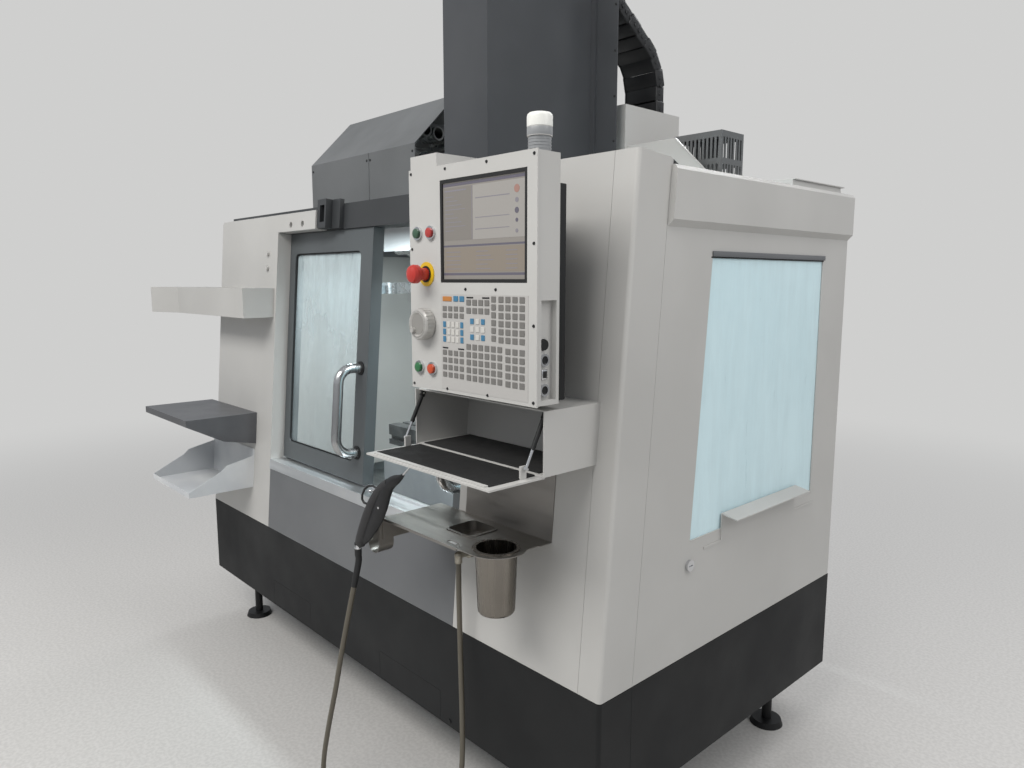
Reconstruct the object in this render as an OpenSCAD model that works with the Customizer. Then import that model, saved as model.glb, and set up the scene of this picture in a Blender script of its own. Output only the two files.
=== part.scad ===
// Vertical machining centre with a sheet metal enclosure, a swivelling control
// pendant, a side tool changer and two sliding front doors.
// X runs along the front, Y runs to the rear and Z is up. The origin is the
// middle of the machine's box on the floor.

/* [Enclosure] */
// Width of the enclosure over its side panels
enclosure_w = 2170; // [2120:10:2300]
// Depth of the enclosure from the front seam to the rear panel
enclosure_d = 1115; // [1115:5:1180]
// Height of the seam between the dark skirt and the light panels
seam_z = 520; // [500:5:560]
// Height of the dark skirt below the seam
skirt_h = 300; // [240:5:340]
// Height of the side panels above the seam
side_h = 1180; // [1160:5:1240]
// Backward lean of the front face in degrees
front_lean = 4.7; // [3.5:0.1:5.5]
// Thickness of the enclosure sheet
sheet_t = 3; // [2:0.5:4]
// Gap between neighbouring panels
panel_gap = 0.8; // [0.5:0.1:0.9]
// Width of the corner panel on the front
corner_front = 65; // [45:5:90]
// Width of the corner panels on the sides
corner_side = 115; // [80:5:150]
// Outer bend radius of the folded corners
corner_r = 10; // [4:1:20]
// Proud height of the top bands on the sides
band_proud = 15; // [8:1:25]
// Height of the top bands
band_h = 133; // [90:1:160]

/* [Doors] */
// Clear width between the two door posts
opening_w = 1130; // [1100:10:1170]
// Width of one sliding door
door_w = 600; // [590:2:612]
// Depth from the front face to the doors
door_recess = 53; // [45:1:60]
// Thickness of a door
door_t = 40; // [34:1:46]
// Height of the sill's top above the seam
sill_h = 262; // [240:2:300]
// Height of the sill's polished front edge
sill_edge = 36; // [25:1:50]
// Height of the door tops above the seam
door_top_h = 1106; // [1080:2:1120]
// Width of a door's closing stile
stile_in = 70; // [50:1:90]
// Width of a door's other stile
stile_out = 76; // [60:1:100]
// Height of a door's top rail
rail_top = 73; // [50:1:100]
// Height of a door's bottom rail
rail_bottom = 66; // [50:1:100]
// Diameter of the handle tube
handle_d = 32; // [22:1:36]
// Height of the handle between its feet
handle_h = 280; // [220:10:320]
// Distance that the handle stands off the door
handle_out = 80; // [65:1:90]
// How far the right door stands open
door_open = 470; // [400:5:474]

/* [Side window] */
// Height of the side window's lower edge above the seam
window_low = 296; // [280:2:320]
// Height of the side window's upper edge above the seam
window_high = 984; // [940:2:1000]
// Depth from the front face to the window's front edge
window_front = 304; // [280:2:330]
// Distance of the window's rear edge from the front seam
window_rear = 960; // [900:5:1000]
// Thickness of the side window pane
window_t = 6; // [4:1:8]

/* [Table and ways] */
// Length of the table
table_l = 914; // [860:2:960]
// Depth of the table
table_w = 368; // [340:2:400]
// Height of the table top above the floor
table_top_z = 870; // [860:5:890]
// Thickness of the table slab
table_t = 80; // [70:1:90]
// Width of the mouth of a T-slot
slot_w = 16; // [14:1:18]
// Spacing of the T-slots
slot_pitch = 125; // [100:5:130]
// Distance of the spindle axis from the front seam
spindle_y = 665; // [660:1:675]
// Width of the linear rails
rail_w = 35; // [30:1:40]
// Height of the linear rails
rail_h = 30; // [26:1:32]

/* [Head] */
// Height of the spindle nose above the floor at its highest position
nose_z = 1480; // [1470:5:1500]
// Width of the head cover
cover_w = 236; // [224:2:250]
// Distance of the head cover's front from the front seam
cover_front_y = 520; // [500:5:540]
// Height of the head cover's top above the floor
cover_top_z = 2620; // [2580:10:2680]
// Diameter of the spindle cartridge
spindle_d = 110; // [100:2:120]
// Large diameter of the spindle's taper
taper_d = 44.45; // [40:0.05:50]
// Running gap of the spindle in its bore, on the radius
spindle_gap = 0.3; // [0.2:0.05:0.4]

/* [Tool changer] */
// Number of tool pockets
pocket_count = 24; // [20:1:26]
// Radius of the pocket circle
pocket_circle_r = 250; // [245:1:254]
// Outer radius of a pocket
pocket_r = 29; // [24:1:29]
// Length of a pocket
pocket_l = 110; // [90:5:120]
// Distance of the carousel's axis from the front seam
carousel_y = 775; // [772:1:780]
// Left end of the changer cover, from the middle
changer_left = 1022; // [1000:2:1040]
// Distance from the middle to the swap arm's axis
arm_axis = 290; // [286:1:294]

/* [Pendant] */
// Width of the pendant's front plate
pendant_w = 422; // [400:2:440]
// Height of the pendant's front plate
pendant_h = 500; // [490:2:510]
// Height of the pendant's lower edge above the floor
pendant_z = 1198; // [1198:1:1202]
// Distance from the pendant's right edge to the machine's right side
pendant_side = 44; // [40:1:60]
// Distance of the pendant's front plate ahead of the seam
pendant_out = 155; // [150:1:160]
// Depth of the pendant body behind its plate
pendant_depth = 61; // [50:1:66]
// Thickness of the front plate
plate_t = 4; // [3:0.5:5]
// Width of the screen opening
screen_w = 278; // [270:1:286]
// Height of the screen opening
screen_h = 222; // [214:1:230]

/* [Storage box and shelf] */
// Width of the storage box under the pendant
box_w = 448; // [430:2:452]
// Height of the storage box
box_h = 138; // [134:1:140]
// Distance of the storage box's front ahead of the seam
box_out = 120; // [112:1:128]
// Thickness of the box and shelf sheet
box_t = 3; // [2:0.5:3]
// Length of the drop-down door
flap_l = 146; // [138:1:146]
// Height of the accessory shelf above the seam
shelf_h = 322; // [300:2:340]
// Width of the accessory shelf
shelf_w = 425; // [400:5:440]
// Depth of the accessory shelf
shelf_d = 190; // [170:5:200]
// Diameter of the cup at its rim
cup_d = 100; // [86:1:104]
// Height of the cup
cup_h = 155; // [130:5:170]

/* [Left shelves] */
// Length of the tool tray's straight part
tray_l = 659; // [619:10:679]
// Height of the tool tray's apron
tray_h = 108; // [90:2:120]
// Distance of the tool tray's front ahead of the seam
tray_out = 50; // [45:1:60]
// Width of the middle shelf
mid_w = 450; // [430:5:470]
// Distance of the middle shelf's front ahead of the seam
mid_out = 236; // [220:2:250]

/* [Hidden] */
$fn = 48;
eps = 0.01;

// Clearance between parts that slide on each other
slide_gap = 0.4;
// Half of the enclosure's width
half_w = enclosure_w / 2;
// Inner face of the side panels
inner_x = half_w - sheet_t;
// Half of the clear opening
half_open = opening_w / 2;
// Height of the underside of the skirt
skirt_z = seam_z - skirt_h;
// Height of the side panels' top
side_top_z = seam_z + side_h;
// Height of the header's underside above the seam, along the face
header_h = door_top_h + panel_gap;
// Height of the header beam
header_t = 84;
// Depth of the header's front and rear faces from the front face
header_v0 = 45;
header_v1 = 105;
// Height of the left front panel and its arm above the seam
left_panel_h = 1170;
// Height of the right front panel and corner above the seam
right_panel_h = 1208;
// Size of the base casting
base_half_w = 430;
base_front_y = 230;
base_rear_y = 1440;
base_low_z = 70;
base_top_z = 500;
// Height of the pads that carry the rails and the column
pad_top_z = 560;
base_rail_x = 230;
rail_y0 = 262;
// Size of the column
column_half_w = 235;
column_foot_half_w = 330;
column_front_y = 1100;
column_rear_y = 1440;
column_top_z = 2100;
column_rail_x = 150;
foot_pad_x = column_foot_half_w + 5;
taper_z0 = 700;
taper_z1 = 1250;
// Brace that rises from the rear wall beside the column
brace_x0 = column_half_w + 220;
brace_x1 = 727;
brace_top_z = column_top_z - 150;
brace_fold = 8;
// Seat of the saddle on the base rails
saddle_half_l = 490;
saddle_half_w = 190;
saddle_top_z = 720;
saddle_low_z = pad_top_z + rail_h + 4;
table_rail_y = 130;
table_rail_w = 30;
table_rail_h = 25;
table_low_z = table_top_z - table_t;
// Head
head_half_w = 100;
head_low_z = nose_z + 100;
head_top_z = nose_z + 500;
back_plate_y = 1048;
cover_low_z = nose_z + 120;
cover_rear_y = 1045;
cover_flange = 236;
motor_d = 180;
motor_h = 340;
// Changer
changer_front_y = 480;
changer_slope = 202;
changer_low_z = 1560;
changer_edge_z = 1948;
changer_rear_y = 1068;
changer_right = 244;
carousel_z = 1829;
head_front_y = spindle_y - 100;
disc_x = -700;
disc_t = 20;
carousel_bore_r = 30.5;
arm_low_z = nose_z - 80;
frame_t = 15;
frame_gap = 30;
arm_t = 40;
// Pendant
pendant_x1 = half_w - pendant_side;
pendant_x0 = pendant_x1 - pendant_w;
plate_y = -pendant_out;
body_y0 = plate_y + plate_t;
body_y1 = plate_y + plate_t + pendant_depth;
pivot_x = (pendant_x0 + pendant_x1) / 2;
pivot_y = -50;
pivot_r = 15;
// Storage box
box_x1 = half_w - 57;
box_x0 = box_x1 - box_w;
box_front_y = -box_out;
box_top_z = pendant_z - 13;
box_low_z = box_top_z - box_h;
flap_t = 4;
mat_t = 3;
flap_z = box_low_z;
flap_y = box_front_y;
hinge_y = flap_y + 4;
hinge_z = flap_z - flap_t / 2;
strut_x = 13;
strut_top = [hinge_y + 10, box_top_z - 11];
strut_low = [hinge_y - 44, box_low_z + 21];
pin_r = 2.5;
pin_gap = 0.1;
strut_r = 5;
rod_r = 3;
// Shelf on the right, in millimetres along the front face
shelf_x0 = half_w - 600;
shelf_x1 = shelf_x0 + shelf_w;
cup_x = half_w - 236;
cup_y = -93;
pan_x0 = half_w - 423;
pan_w = 95;
pan_y0 = -95;
pan_y1 = -4;
pan_r = 18;
hook_y = -152;
hook_w = 44;
hook_h = 70;
hook_r = 27;
// Shelves on the left
tray_x1 = -half_open - 15;
tray_x0 = tray_x1 - tray_l;
tray_z = 1312;
mid_x1 = -half_open - 130;
mid_z = 940;
bin_z = 646;
bin_w = 398;
bin_x1 = mid_x1 - 12;

// The machine's box: the left tray reaches furthest left, the window's
// folded tray furthest right, the flap furthest forward and the cabinet
// furthest back
tray_wing = [168, 55];
sill_out = 47;
cabinet_rear_y = enclosure_d + 365;
bounds_x0 = tray_x0 - tray_wing[0];
bounds_x1 = half_w + sill_out;
bounds_y0 = flap_y - flap_l;
bounds_y1 = cabinet_rear_y;
centre = [-(bounds_x0 + bounds_x1) / 2, -(bounds_y0 + bounds_y1) / 2, 0];

// Distance of the front face from the seam's plane at a height, with a depth
function face_y(z, v = 0) = (z - seam_z) * tan(front_lean) + v / cos(front_lean);
// Height above the seam along the face for a height above the floor
function face_h(z) = (z - seam_z) / cos(front_lean);

// A box between two corners
module box(a, b) {
  translate(a) cube(b - a);
}

// Children drawn with X across, Y into the face and Z up along the face
module on_face() {
  translate([0, 0, seam_z]) rotate([-front_lean, 0, 0]) children();
}

// A flat outline in Y and Z, thick along X
module yz_plate(x0, x1, pts) {
  translate([x0, 0, 0]) rotate([90, 0, 90]) linear_extrude(x1 - x0) polygon(pts);
}

// A flat outline in X and Z, thick along Y
module xz_plate(y0, y1, pts) {
  translate([0, y1, 0]) rotate([90, 0, 0]) linear_extrude(y1 - y0) polygon(pts);
}

// A rod along Y
module rod_y(p, r, l) {
  translate(p) rotate([-90, 0, 0]) cylinder(r = r, h = l);
}

// A rod along X
module rod_x(p, r, l) {
  translate(p) rotate([0, 90, 0]) cylinder(r = r, h = l);
}

// A folded sheet seen along its bend, with the corner at the origin
module angle_2d(a, b, t, r) {
  translate([r, 0]) square([a - r, t]);
  translate([0, r]) square([t, b - r]);
  intersection() {
    square([r, r]);
    translate([r, r]) difference() {
      circle(r = r, $fn = 64);
      circle(r = r - t, $fn = 64);
    }
  }
}

// Everything in front of the leaning face
module behind_face(v = 0) {
  on_face() translate([-2 * half_w, v, -2000]) cube([4 * half_w, 3000, 5000]);
}

// Base and column

// Cast base with pads for the saddle's rails and the column
module base_casting() {
  color("#8f9394") {
    difference() {
      box([-base_half_w, base_front_y, base_low_z], [base_half_w, base_rear_y, base_top_z]);
      // Cast recesses along the sides and the rear
      for (side = [-1, 1], i = [0:2])
        translate([side * base_half_w, base_front_y + 230 + i * 375, (base_low_z + base_top_z) / 2])
          cube([40, 300, 300], center = true);
      for (i = [-1, 1])
        translate([i * 200, base_rear_y, (base_low_z + base_top_z) / 2])
          cube([320, 40, 300], center = true);
    }
    for (side = [-1, 1])
      translate([side * base_rail_x - 40, rail_y0 - 8, base_top_z])
        cube([80, column_front_y - rail_y0, pad_top_z - base_top_z]);
    box([-foot_pad_x, column_front_y - 5, base_top_z], [foot_pad_x, base_rear_y, pad_top_z]);
  }
}

// One levelling foot: a floor pad and its screw
module foot(h, r) {
  cylinder(r1 = r, r2 = r - 6, h = 18, $fn = 48);
  translate([0, 0, 18]) cylinder(r = r / 3.4, h = h - 18);
}

// Feet under the casting, and feet with tubes under the enclosure's pan
module leveling_feet() {
  color("#3a3c3e") {
    for (side = [-1, 1], y = [base_front_y + 60, 835, base_rear_y - 60])
      translate([side * (base_half_w - 60), y, 0]) foot(base_low_z, 60);
    for (side = [-1, 1], y = [120, enclosure_d - 115])
      translate([side * (half_w - 125), y, 0]) {
        foot(150, 52);
        translate([-35, -35, 150]) cube([70, 70, seam_z - 15 - 150]);
      }
  }
}

// Column that tapers up from its foot, with a cast pocket in its back
module column_casting() {
  color("#c9cccb") difference() {
    xz_plate(column_front_y, column_rear_y, [
      [-column_foot_half_w, pad_top_z], [column_foot_half_w, pad_top_z],
      [column_foot_half_w, taper_z0], [column_half_w, taper_z1], [column_half_w, column_top_z],
      [-column_half_w, column_top_z], [-column_half_w, taper_z1], [-column_foot_half_w, taper_z0]]);
    box([-150, column_rear_y - 40, 760], [150, column_rear_y + 1, 1350]);
    box([-150, column_rear_y - 40, 1420], [150, column_rear_y + 1, 1980]);
  }
}

// Ground rails on the base for the saddle and on the column for the head
module linear_rails() {
  color("#b9bcbe") {
    for (side = [-1, 1]) {
      translate([side * base_rail_x - rail_w / 2, rail_y0, pad_top_z])
        cube([rail_w, column_front_y - 20 - rail_y0, rail_h]);
      translate([side * column_rail_x - rail_w / 2, column_front_y - rail_h, 1000])
        cube([rail_w, rail_h, column_top_z - 1020]);
    }
  }
}

// Sheet pan that closes the enclosure's floor around the base casting
module chip_pan() {
  pan_z = seam_z - 15;
  edge = inner_x - 4;
  wall = 2.5;
  color("#9aa0a2") difference() {
    union() {
      box([-inner_x, sheet_t, pan_z], [inner_x, enclosure_d - sheet_t, pan_z + sheet_t]);
      for (side = [-1, 1])
        translate([side * (edge - wall / 2), 6, pan_z]) translate([-wall / 2, 0, 0])
          cube([wall, enclosure_d - sheet_t - 10, 38]);
      box([-edge, 6, pan_z], [edge, 6 + wall, pan_z + 34]);
    }
    box([-base_half_w - panel_gap, base_front_y - panel_gap, pan_z - 1],
      [base_half_w + panel_gap, enclosure_d + 10, pan_z + 60]);
    // Notched corners behind the skirt's bends
    for (side = [-1, 1]) translate([side * inner_x, sheet_t, pan_z + sheet_t / 2])
      cube([2 * corner_r, 2 * corner_r, sheet_t + 2], center = true);
  }
}

// Skirt and front panels

// Position of the two access plates in the front skirt: left, right, bottom, top
plates = [[-536, -251, skirt_z + 5, skirt_z + 98], [195, 505, skirt_z + 4, skirt_z + 90]];

// Dark folded skirt along the front, wrapped round both corners
module front_skirt() {
  color("#46494b") {
    difference() {
      translate([0, 0, skirt_z]) linear_extrude(skirt_h - panel_gap) {
        translate([-half_w, 0]) angle_2d(half_w, corner_side - panel_gap, sheet_t, corner_r);
        translate([half_w, 0]) mirror([1, 0])
          angle_2d(half_w, corner_side - panel_gap, sheet_t, corner_r);
      }
      for (p = plates) box([p[0], -1, p[2]], [p[1], sheet_t + 1, p[3]]);
      rod_y([546, -1, skirt_z + 16], 7, sheet_t + 2);
    }
    // Folded return along the bottom edge
    box([-half_w + 20, sheet_t, skirt_z], [half_w - 20, 32, skirt_z + sheet_t]);
    // Access plates, each held by a strip behind the skirt
    for (p = plates) {
      box([p[0] + panel_gap, 0, p[2] + panel_gap], [p[1] - panel_gap, sheet_t, p[3] - panel_gap]);
      box([p[0] - 12, sheet_t, p[2] + 20], [p[1] + 12, sheet_t + 3, p[3] + 12]);
    }
    // Cam lock beside the right plate
    rod_y([546, -2, skirt_z + 16], 6.5, 14);
  }
}

// Dark skirts along both sides
module side_skirts() {
  color("#3c3f41") for (side = [0, 1]) mirror([side, 0, 0]) {
    box([half_w - sheet_t, corner_side, skirt_z],
      [half_w, enclosure_d, seam_z - panel_gap]);
    box([half_w - 30, corner_side + 5, skirt_z],
      [half_w - sheet_t, enclosure_d - 5, skirt_z + sheet_t]);
    box([half_w - 30, enclosure_d - sheet_t, skirt_z + sheet_t],
      [half_w - sheet_t, enclosure_d, seam_z - panel_gap]);
  }
}

// Dark panel under the doors
module front_lower_panel() {
  color("#55595b") on_face()
    translate([-half_open + panel_gap, 0, panel_gap])
      cube([opening_w - 2 * panel_gap, sheet_t, sill_h - sill_edge - 2 * panel_gap]);
}

// Polished sill that folds down inside the machine
module front_sill() {
  x0 = -half_open + panel_gap;
  w = opening_w - 2 * panel_gap;
  color("#c4c6c6") on_face() {
    translate([x0, -3, sill_h - sill_edge]) cube([w, 3 + sheet_t, sill_edge]);
    translate([x0, -3, sill_h - 3]) cube([w, header_v1 + 3, 3]);
    translate([x0, header_v1 - sheet_t, 35]) cube([w, sheet_t, sill_h - 35]);
    // Guide rail for the door bottoms
    translate([x0, door_recess + door_t / 2 - 3, sill_h]) cube([w, 6, 8]);
  }
}

// Side return of a front panel towards the door it hides
module door_post() {
  translate([0, sheet_t - eps, sill_h]) cube([sheet_t, door_recess - sheet_t - panel_gap, header_h - sill_h - 2]);
}

// Light front panel on the left, wrapped round the corner, with the top arm
module left_front_panel() {
  arm_l = 280;
  color("#d9dad8") {
    difference() {
      on_face() {
        translate([-half_w, 0, -12]) linear_extrude(left_panel_h + 12)
          angle_2d(half_w - half_open, corner_side - panel_gap, sheet_t, corner_r);
        translate([-half_open - sheet_t, 0, 0]) door_post();
        translate([-half_open - sheet_t, 0, header_h]) cube([arm_l, header_v0, left_panel_h - header_h]);
      }
      box([-half_w - 1, -20, seam_z - 30], [-half_open + 1, 200, seam_z + panel_gap]);
      // Two round holes in the arm
      for (x = [-half_open + 98, -half_open + 184])
        on_face() rod_y([x, -1, header_h + 22], 11, 30);
      // Cut corner at the top left
      on_face() translate([-half_w - 1, -1, left_panel_h]) rotate([0, 45, 0])
        translate([-14, 0, -14]) cube([28, 200, 28]);
    }
    // Two small knobs on the panel
    for (h = [1031, 978]) on_face() rod_y([-half_w + 445, -9, h], 9, 9);
  }
}

// Light front panel on the right, behind the pendant
module right_front_panel() {
  color("#d6d8d6") on_face() {
    translate([half_open, 0, panel_gap])
      cube([half_w - corner_front - panel_gap - half_open, sheet_t, right_panel_h - panel_gap]);
    translate([half_open, 0, 0]) door_post();
    // Folded top edge
    translate([half_open, sheet_t, right_panel_h - sheet_t])
      cube([half_w - corner_front - panel_gap - half_open, 30, sheet_t]);
  }
}

// Light folded panel round the right front corner
module right_corner_panel() {
  color("#dddedc") difference() {
    on_face() {
      translate([half_w, 0, -12]) mirror([1, 0, 0]) linear_extrude(right_panel_h + 12)
        angle_2d(corner_front, corner_side - panel_gap, sheet_t, corner_r);
      translate([half_w - corner_front, sheet_t, right_panel_h - sheet_t])
        cube([corner_front - sheet_t, 30, sheet_t]);
    }
    box([0, -20, seam_z - 30], [half_w + 1, 200, seam_z + panel_gap]);
  }
}

// Outline of a side panel with its leaning front edge
function side_outline(low, high, v) = [
  [face_y(low, v), low], [enclosure_d - sheet_t, low],
  [enclosure_d - sheet_t, high], [face_y(high, v), high]];

// Proud band with a bevelled lower edge, drawn for the right side
module top_band() {
  low = side_top_z - band_h;
  difference() {
    xz_plate(0, enclosure_d - sheet_t, [
      [half_w, low], [half_w + band_proud, low + band_proud],
      [half_w + band_proud, side_top_z - 10], [half_w + band_proud - 8, side_top_z], [half_w, side_top_z]]);
    behind = [[-500, low - 100], [face_y(low - 100, corner_side + 2), low - 100],
      [face_y(side_top_z + 100, corner_side + 2), side_top_z + 100], [-500, side_top_z + 100]];
    yz_plate(half_w - 1, half_w + 60, behind);
  }
}

// Window outline with a leaning front edge, grown by m
function window_outline(m) = [
  [face_y(seam_z + window_low - m, window_front) - m, seam_z + window_low - m],
  [window_rear + m, seam_z + window_low - m],
  [window_rear + m, seam_z + window_high + m],
  [face_y(seam_z + window_high + m, window_front) - m, seam_z + window_high + m]];

// Position of the round lock in the right side panel
lock_y = window_front + 23;
lock_z = seam_z + 237;

// Light side panel with the window opening, the top band and the folded tray
module right_side_panel() {
  color("#d4d6d4") {
    difference() {
      union() {
        yz_plate(half_w - sheet_t, half_w,
          side_outline(seam_z + panel_gap, side_top_z, corner_side));
        top_band();
        // Folded top edge
        box([half_w - 40, 230, side_top_z - sheet_t], [half_w - sheet_t, enclosure_d - 10, side_top_z]);
      }
      yz_plate(half_w - sheet_t - 1, half_w + 1, window_outline(0));
      rod_x([half_w - 20, lock_y, lock_z], 10.3, 40);
    }
    // Ledge along the window's lower edge
    box([half_w, 390, seam_z + 262], [half_w + 2, window_rear + 14, seam_z + 268]);
    // Upright sheet with a flange folded outwards at its top
    xz_plate(466, 858, [
      [half_w, seam_z + 268], [half_w + 3, seam_z + 268], [half_w + 3, seam_z + 336],
      [half_w + sill_out, seam_z + 328], [half_w + sill_out, seam_z + 331],
      [half_w + 1.5, seam_z + 339.5], [half_w, seam_z + 338]]);
  }
}

// Plain side panel on the left with its top band
module left_side_panel() {
  color("#d4d6d4") mirror([1, 0, 0]) {
    yz_plate(half_w - sheet_t, half_w,
      side_outline(seam_z + panel_gap, side_top_z, corner_side));
    top_band();
    box([half_w - 40, 230, side_top_z - sheet_t], [half_w - sheet_t, enclosure_d - 10, side_top_z]);
  }
}

// Half of the rear wall with the brace that ties it to the column
module rear_half() {
  y0 = enclosure_d - sheet_t;
  g = panel_gap;
  difference() {
    xz_plate(y0, enclosure_d, [
      [foot_pad_x + g, seam_z + g], [half_w - sheet_t - 0.5, seam_z + g],
      [half_w - sheet_t - 0.5, side_top_z - 12], [brace_x1, side_top_z - 12], [brace_x0, brace_top_z],
      [column_half_w + g, brace_top_z], [column_half_w + g, taper_z1], [column_foot_half_w + g, taper_z0],
      [column_foot_half_w + g, pad_top_z + g], [foot_pad_x + g, pad_top_z + g]]);
    xz_plate(y0 - 1, enclosure_d + 1, [[brace_x0 - 20, side_top_z + 60],
      [brace_x1 - 150, side_top_z + 60], [brace_x0 - 20, brace_top_z - 60]]);
  }
  // Folded edge along the brace
  xz_plate(y0 - brace_fold, y0, [[brace_x1, side_top_z - 12], [brace_x0, brace_top_z],
    [brace_x0, brace_top_z - sheet_t], [brace_x1 - 1.7 * sheet_t, side_top_z - 12]]);
}

module rear_panel() {
  color("#cfd2d0") for (side = [0, 1]) mirror([side, 0, 0]) rear_half();
}

// Dark beam over the doors with the interlock bracket and the work lights
module door_header() {
  color("#4c5053") on_face() {
    translate([-inner_x + 0.5, header_v0, header_h]) cube([2 * inner_x - 1, header_v1 - header_v0, header_t]);
    for (side = [-1, 1])
      translate([side * (half_open + 245) - 225, sheet_t, header_h + 24])
        cube([450, header_v0 - sheet_t, 32]);
    // Interlock bracket with its slot
    difference() {
      translate([-285, header_v0 - 40, header_h + 2]) cube([108, 40, 96]);
      translate([-268, header_v0 - 41, header_h + 22]) cube([30, 42, 56]);
      translate([-228, header_v0 - 41, header_h - 1]) cube([52, 25, 130]);
    }
    // Light bars inside the machine
    for (side = [-1, 1])
      translate([side * 480 - 230, header_v1, header_h + 8]) cube([460, 34, 30]);
  }
}

// Pane of the side window, seated behind the panel
module side_window() {
  color("#cfe6ee") yz_plate(half_w - sheet_t - window_t, half_w - sheet_t, window_outline(14));
}

// Round quarter-turn lock in the side panel
module side_lock() {
  color("#8a8d8f") difference() {
    union() {
      rod_x([half_w - 16, lock_y, lock_z], 10, 17);
      rod_x([half_w + 0.4, lock_y, lock_z], 14, 7);
      box([half_w - 16, lock_y - 7, lock_z - 34], [half_w - 12, lock_y + 7, lock_z]);
    }
    box([half_w + 4, lock_y - 8, lock_z - 1.5], [half_w + 8, lock_y + 8, lock_z + 1.5]);
  }
}

// Doors, drawn closed on the left side and mirrored for the right

glass_rebate = 14;
door_low_h = sill_h + 6;
door_gap = 1;

// Outer frame of a door with its window opening and the rebate for the glass
module door_frame() {
  x0 = -door_w - door_gap;
  win_w = door_w - stile_in - stile_out;
  win_h = door_top_h - door_low_h - rail_top - rail_bottom;
  on_face() difference() {
    translate([x0, door_recess, door_low_h]) cube([door_w, door_t, door_top_h - door_low_h]);
    translate([x0 + stile_out, door_recess - 1, door_low_h + rail_bottom])
      rounded_slab(win_w, door_t + 2, win_h, 20);
    translate([x0 + stile_out - glass_rebate, door_recess + 8, door_low_h + rail_bottom - glass_rebate])
      cube([win_w + 2 * glass_rebate, door_t, win_h + 2 * glass_rebate]);
    // Groove over the sill's guide rail
    translate([x0 - 1, door_recess + door_t / 2 - 5, door_low_h - 1]) cube([door_w + 2, 10, 5]);
  }
}

// A slab in X and Z with rounded corners, thick along Y
module rounded_slab(w, d, h, r) {
  translate([r, 0, 0]) cube([w - 2 * r, d, h]);
  translate([0, 0, r]) cube([w, d, h - 2 * r]);
  for (x = [r, w - r], z = [r, h - r]) rod_y([x, 0, z], r, d);
}

module door_glass() {
  gap = 0.3;
  w = door_w - stile_in - stile_out + 2 * glass_rebate - 2 * gap;
  h = door_top_h - door_low_h - rail_top - rail_bottom + 2 * glass_rebate - 2 * gap;
  on_face() translate([-door_w - door_gap + stile_out - glass_rebate + gap, door_recess + 8,
    door_low_h + rail_bottom - glass_rebate + gap]) cube([w, 6, h]);
}

// Bent tube handle with two bolted feet
module door_handle() {
  r = handle_d / 2;
  bend = 50;
  x = -door_gap - stile_in * 0.6;
  low = 370;
  grip_v = door_recess - handle_out;
  on_face() {
    for (h = [low, low + handle_h]) {
      rod_y([x, grip_v + bend, h], r, door_recess - grip_v - bend);
      rod_y([x, door_recess - 3, h], r + 6, 3);
    }
    translate([x, grip_v, low + bend]) cylinder(r = r, h = handle_h - 2 * bend);
    translate([x, grip_v + bend, low + bend]) rotate([90, 0, -90]) rotate([0, 0, 270])
      rotate_extrude(angle = 90, $fn = 64) translate([bend, 0]) circle(r = r);
    translate([x, grip_v + bend, low + handle_h - bend]) rotate([90, 0, -90])
      rotate_extrude(angle = 90, $fn = 64) translate([bend, 0]) circle(r = r);
  }
}

// The right-hand copy of a door part, slid open
module open_right() {
  translate([door_open, 0, 0]) mirror([1, 0, 0]) children();
}

module left_door_frame() {
  color("#565a5c") door_frame();
}

module left_door_glass() {
  color("#bcd6da") door_glass();
}

module left_door_handle() {
  color("#c9cbcc") door_handle();
}

module right_door_frame() {
  color("#565a5c") open_right() door_frame();
}

module right_door_glass() {
  color("#bcd6da") open_right() door_glass();
}

module right_door_handle() {
  color("#c9cbcc") open_right() door_handle();
}

// Saddle, table and head

// Saddle on the base rails, with two rails for the table on top
module saddle() {
  color("#7f8385") {
    box([-saddle_half_l, spindle_y - saddle_half_w, saddle_low_z],
      [saddle_half_l, spindle_y + saddle_half_w, saddle_top_z]);
    for (side = [-1, 1]) {
      difference() {
        translate([side * base_rail_x - 45, spindle_y - 175, pad_top_z + 6])
          cube([90, 350, saddle_low_z - pad_top_z - 6]);
        translate([side * base_rail_x - rail_w / 2 - slide_gap, spindle_y - 180, pad_top_z])
          cube([rail_w + 2 * slide_gap, 360, rail_h + slide_gap]);
      }
      translate([-saddle_half_l, spindle_y + side * table_rail_y - table_rail_w / 2, saddle_top_z])
        cube([2 * saddle_half_l, table_rail_w, table_rail_h]);
    }
  }
}

// Table with three T-slots and the blocks that run on the saddle's rails
module table() {
  color("#a3a6a5") {
    difference() {
      box([-table_l / 2, spindle_y - table_w / 2, table_low_z],
        [table_l / 2, spindle_y + table_w / 2, table_top_z]);
      for (i = [-1:1]) {
        translate([-table_l, spindle_y + i * slot_pitch - slot_w / 2, table_top_z - 32])
          cube([2 * table_l, slot_w, 40]);
        translate([-table_l, spindle_y + i * slot_pitch - slot_w / 2 - 6, table_top_z - 34])
          cube([2 * table_l, slot_w + 12, 14]);
      }
      // Coolant gutter along the front edge
      translate([-table_l, spindle_y - table_w / 2 - 1, table_low_z + 20]) cube([2 * table_l, 13, 18]);
    }
    for (side = [-1, 1], x = [-105, 15])
      difference() {
        translate([x, spindle_y + side * table_rail_y - 40, saddle_top_z + 6])
          cube([90, 80, table_low_z - saddle_top_z - 6]);
        translate([x - 1, spindle_y + side * table_rail_y - table_rail_w / 2 - slide_gap, saddle_top_z])
          cube([92, table_rail_w + 2 * slide_gap, table_rail_h + slide_gap]);
      }
  }
}

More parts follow.
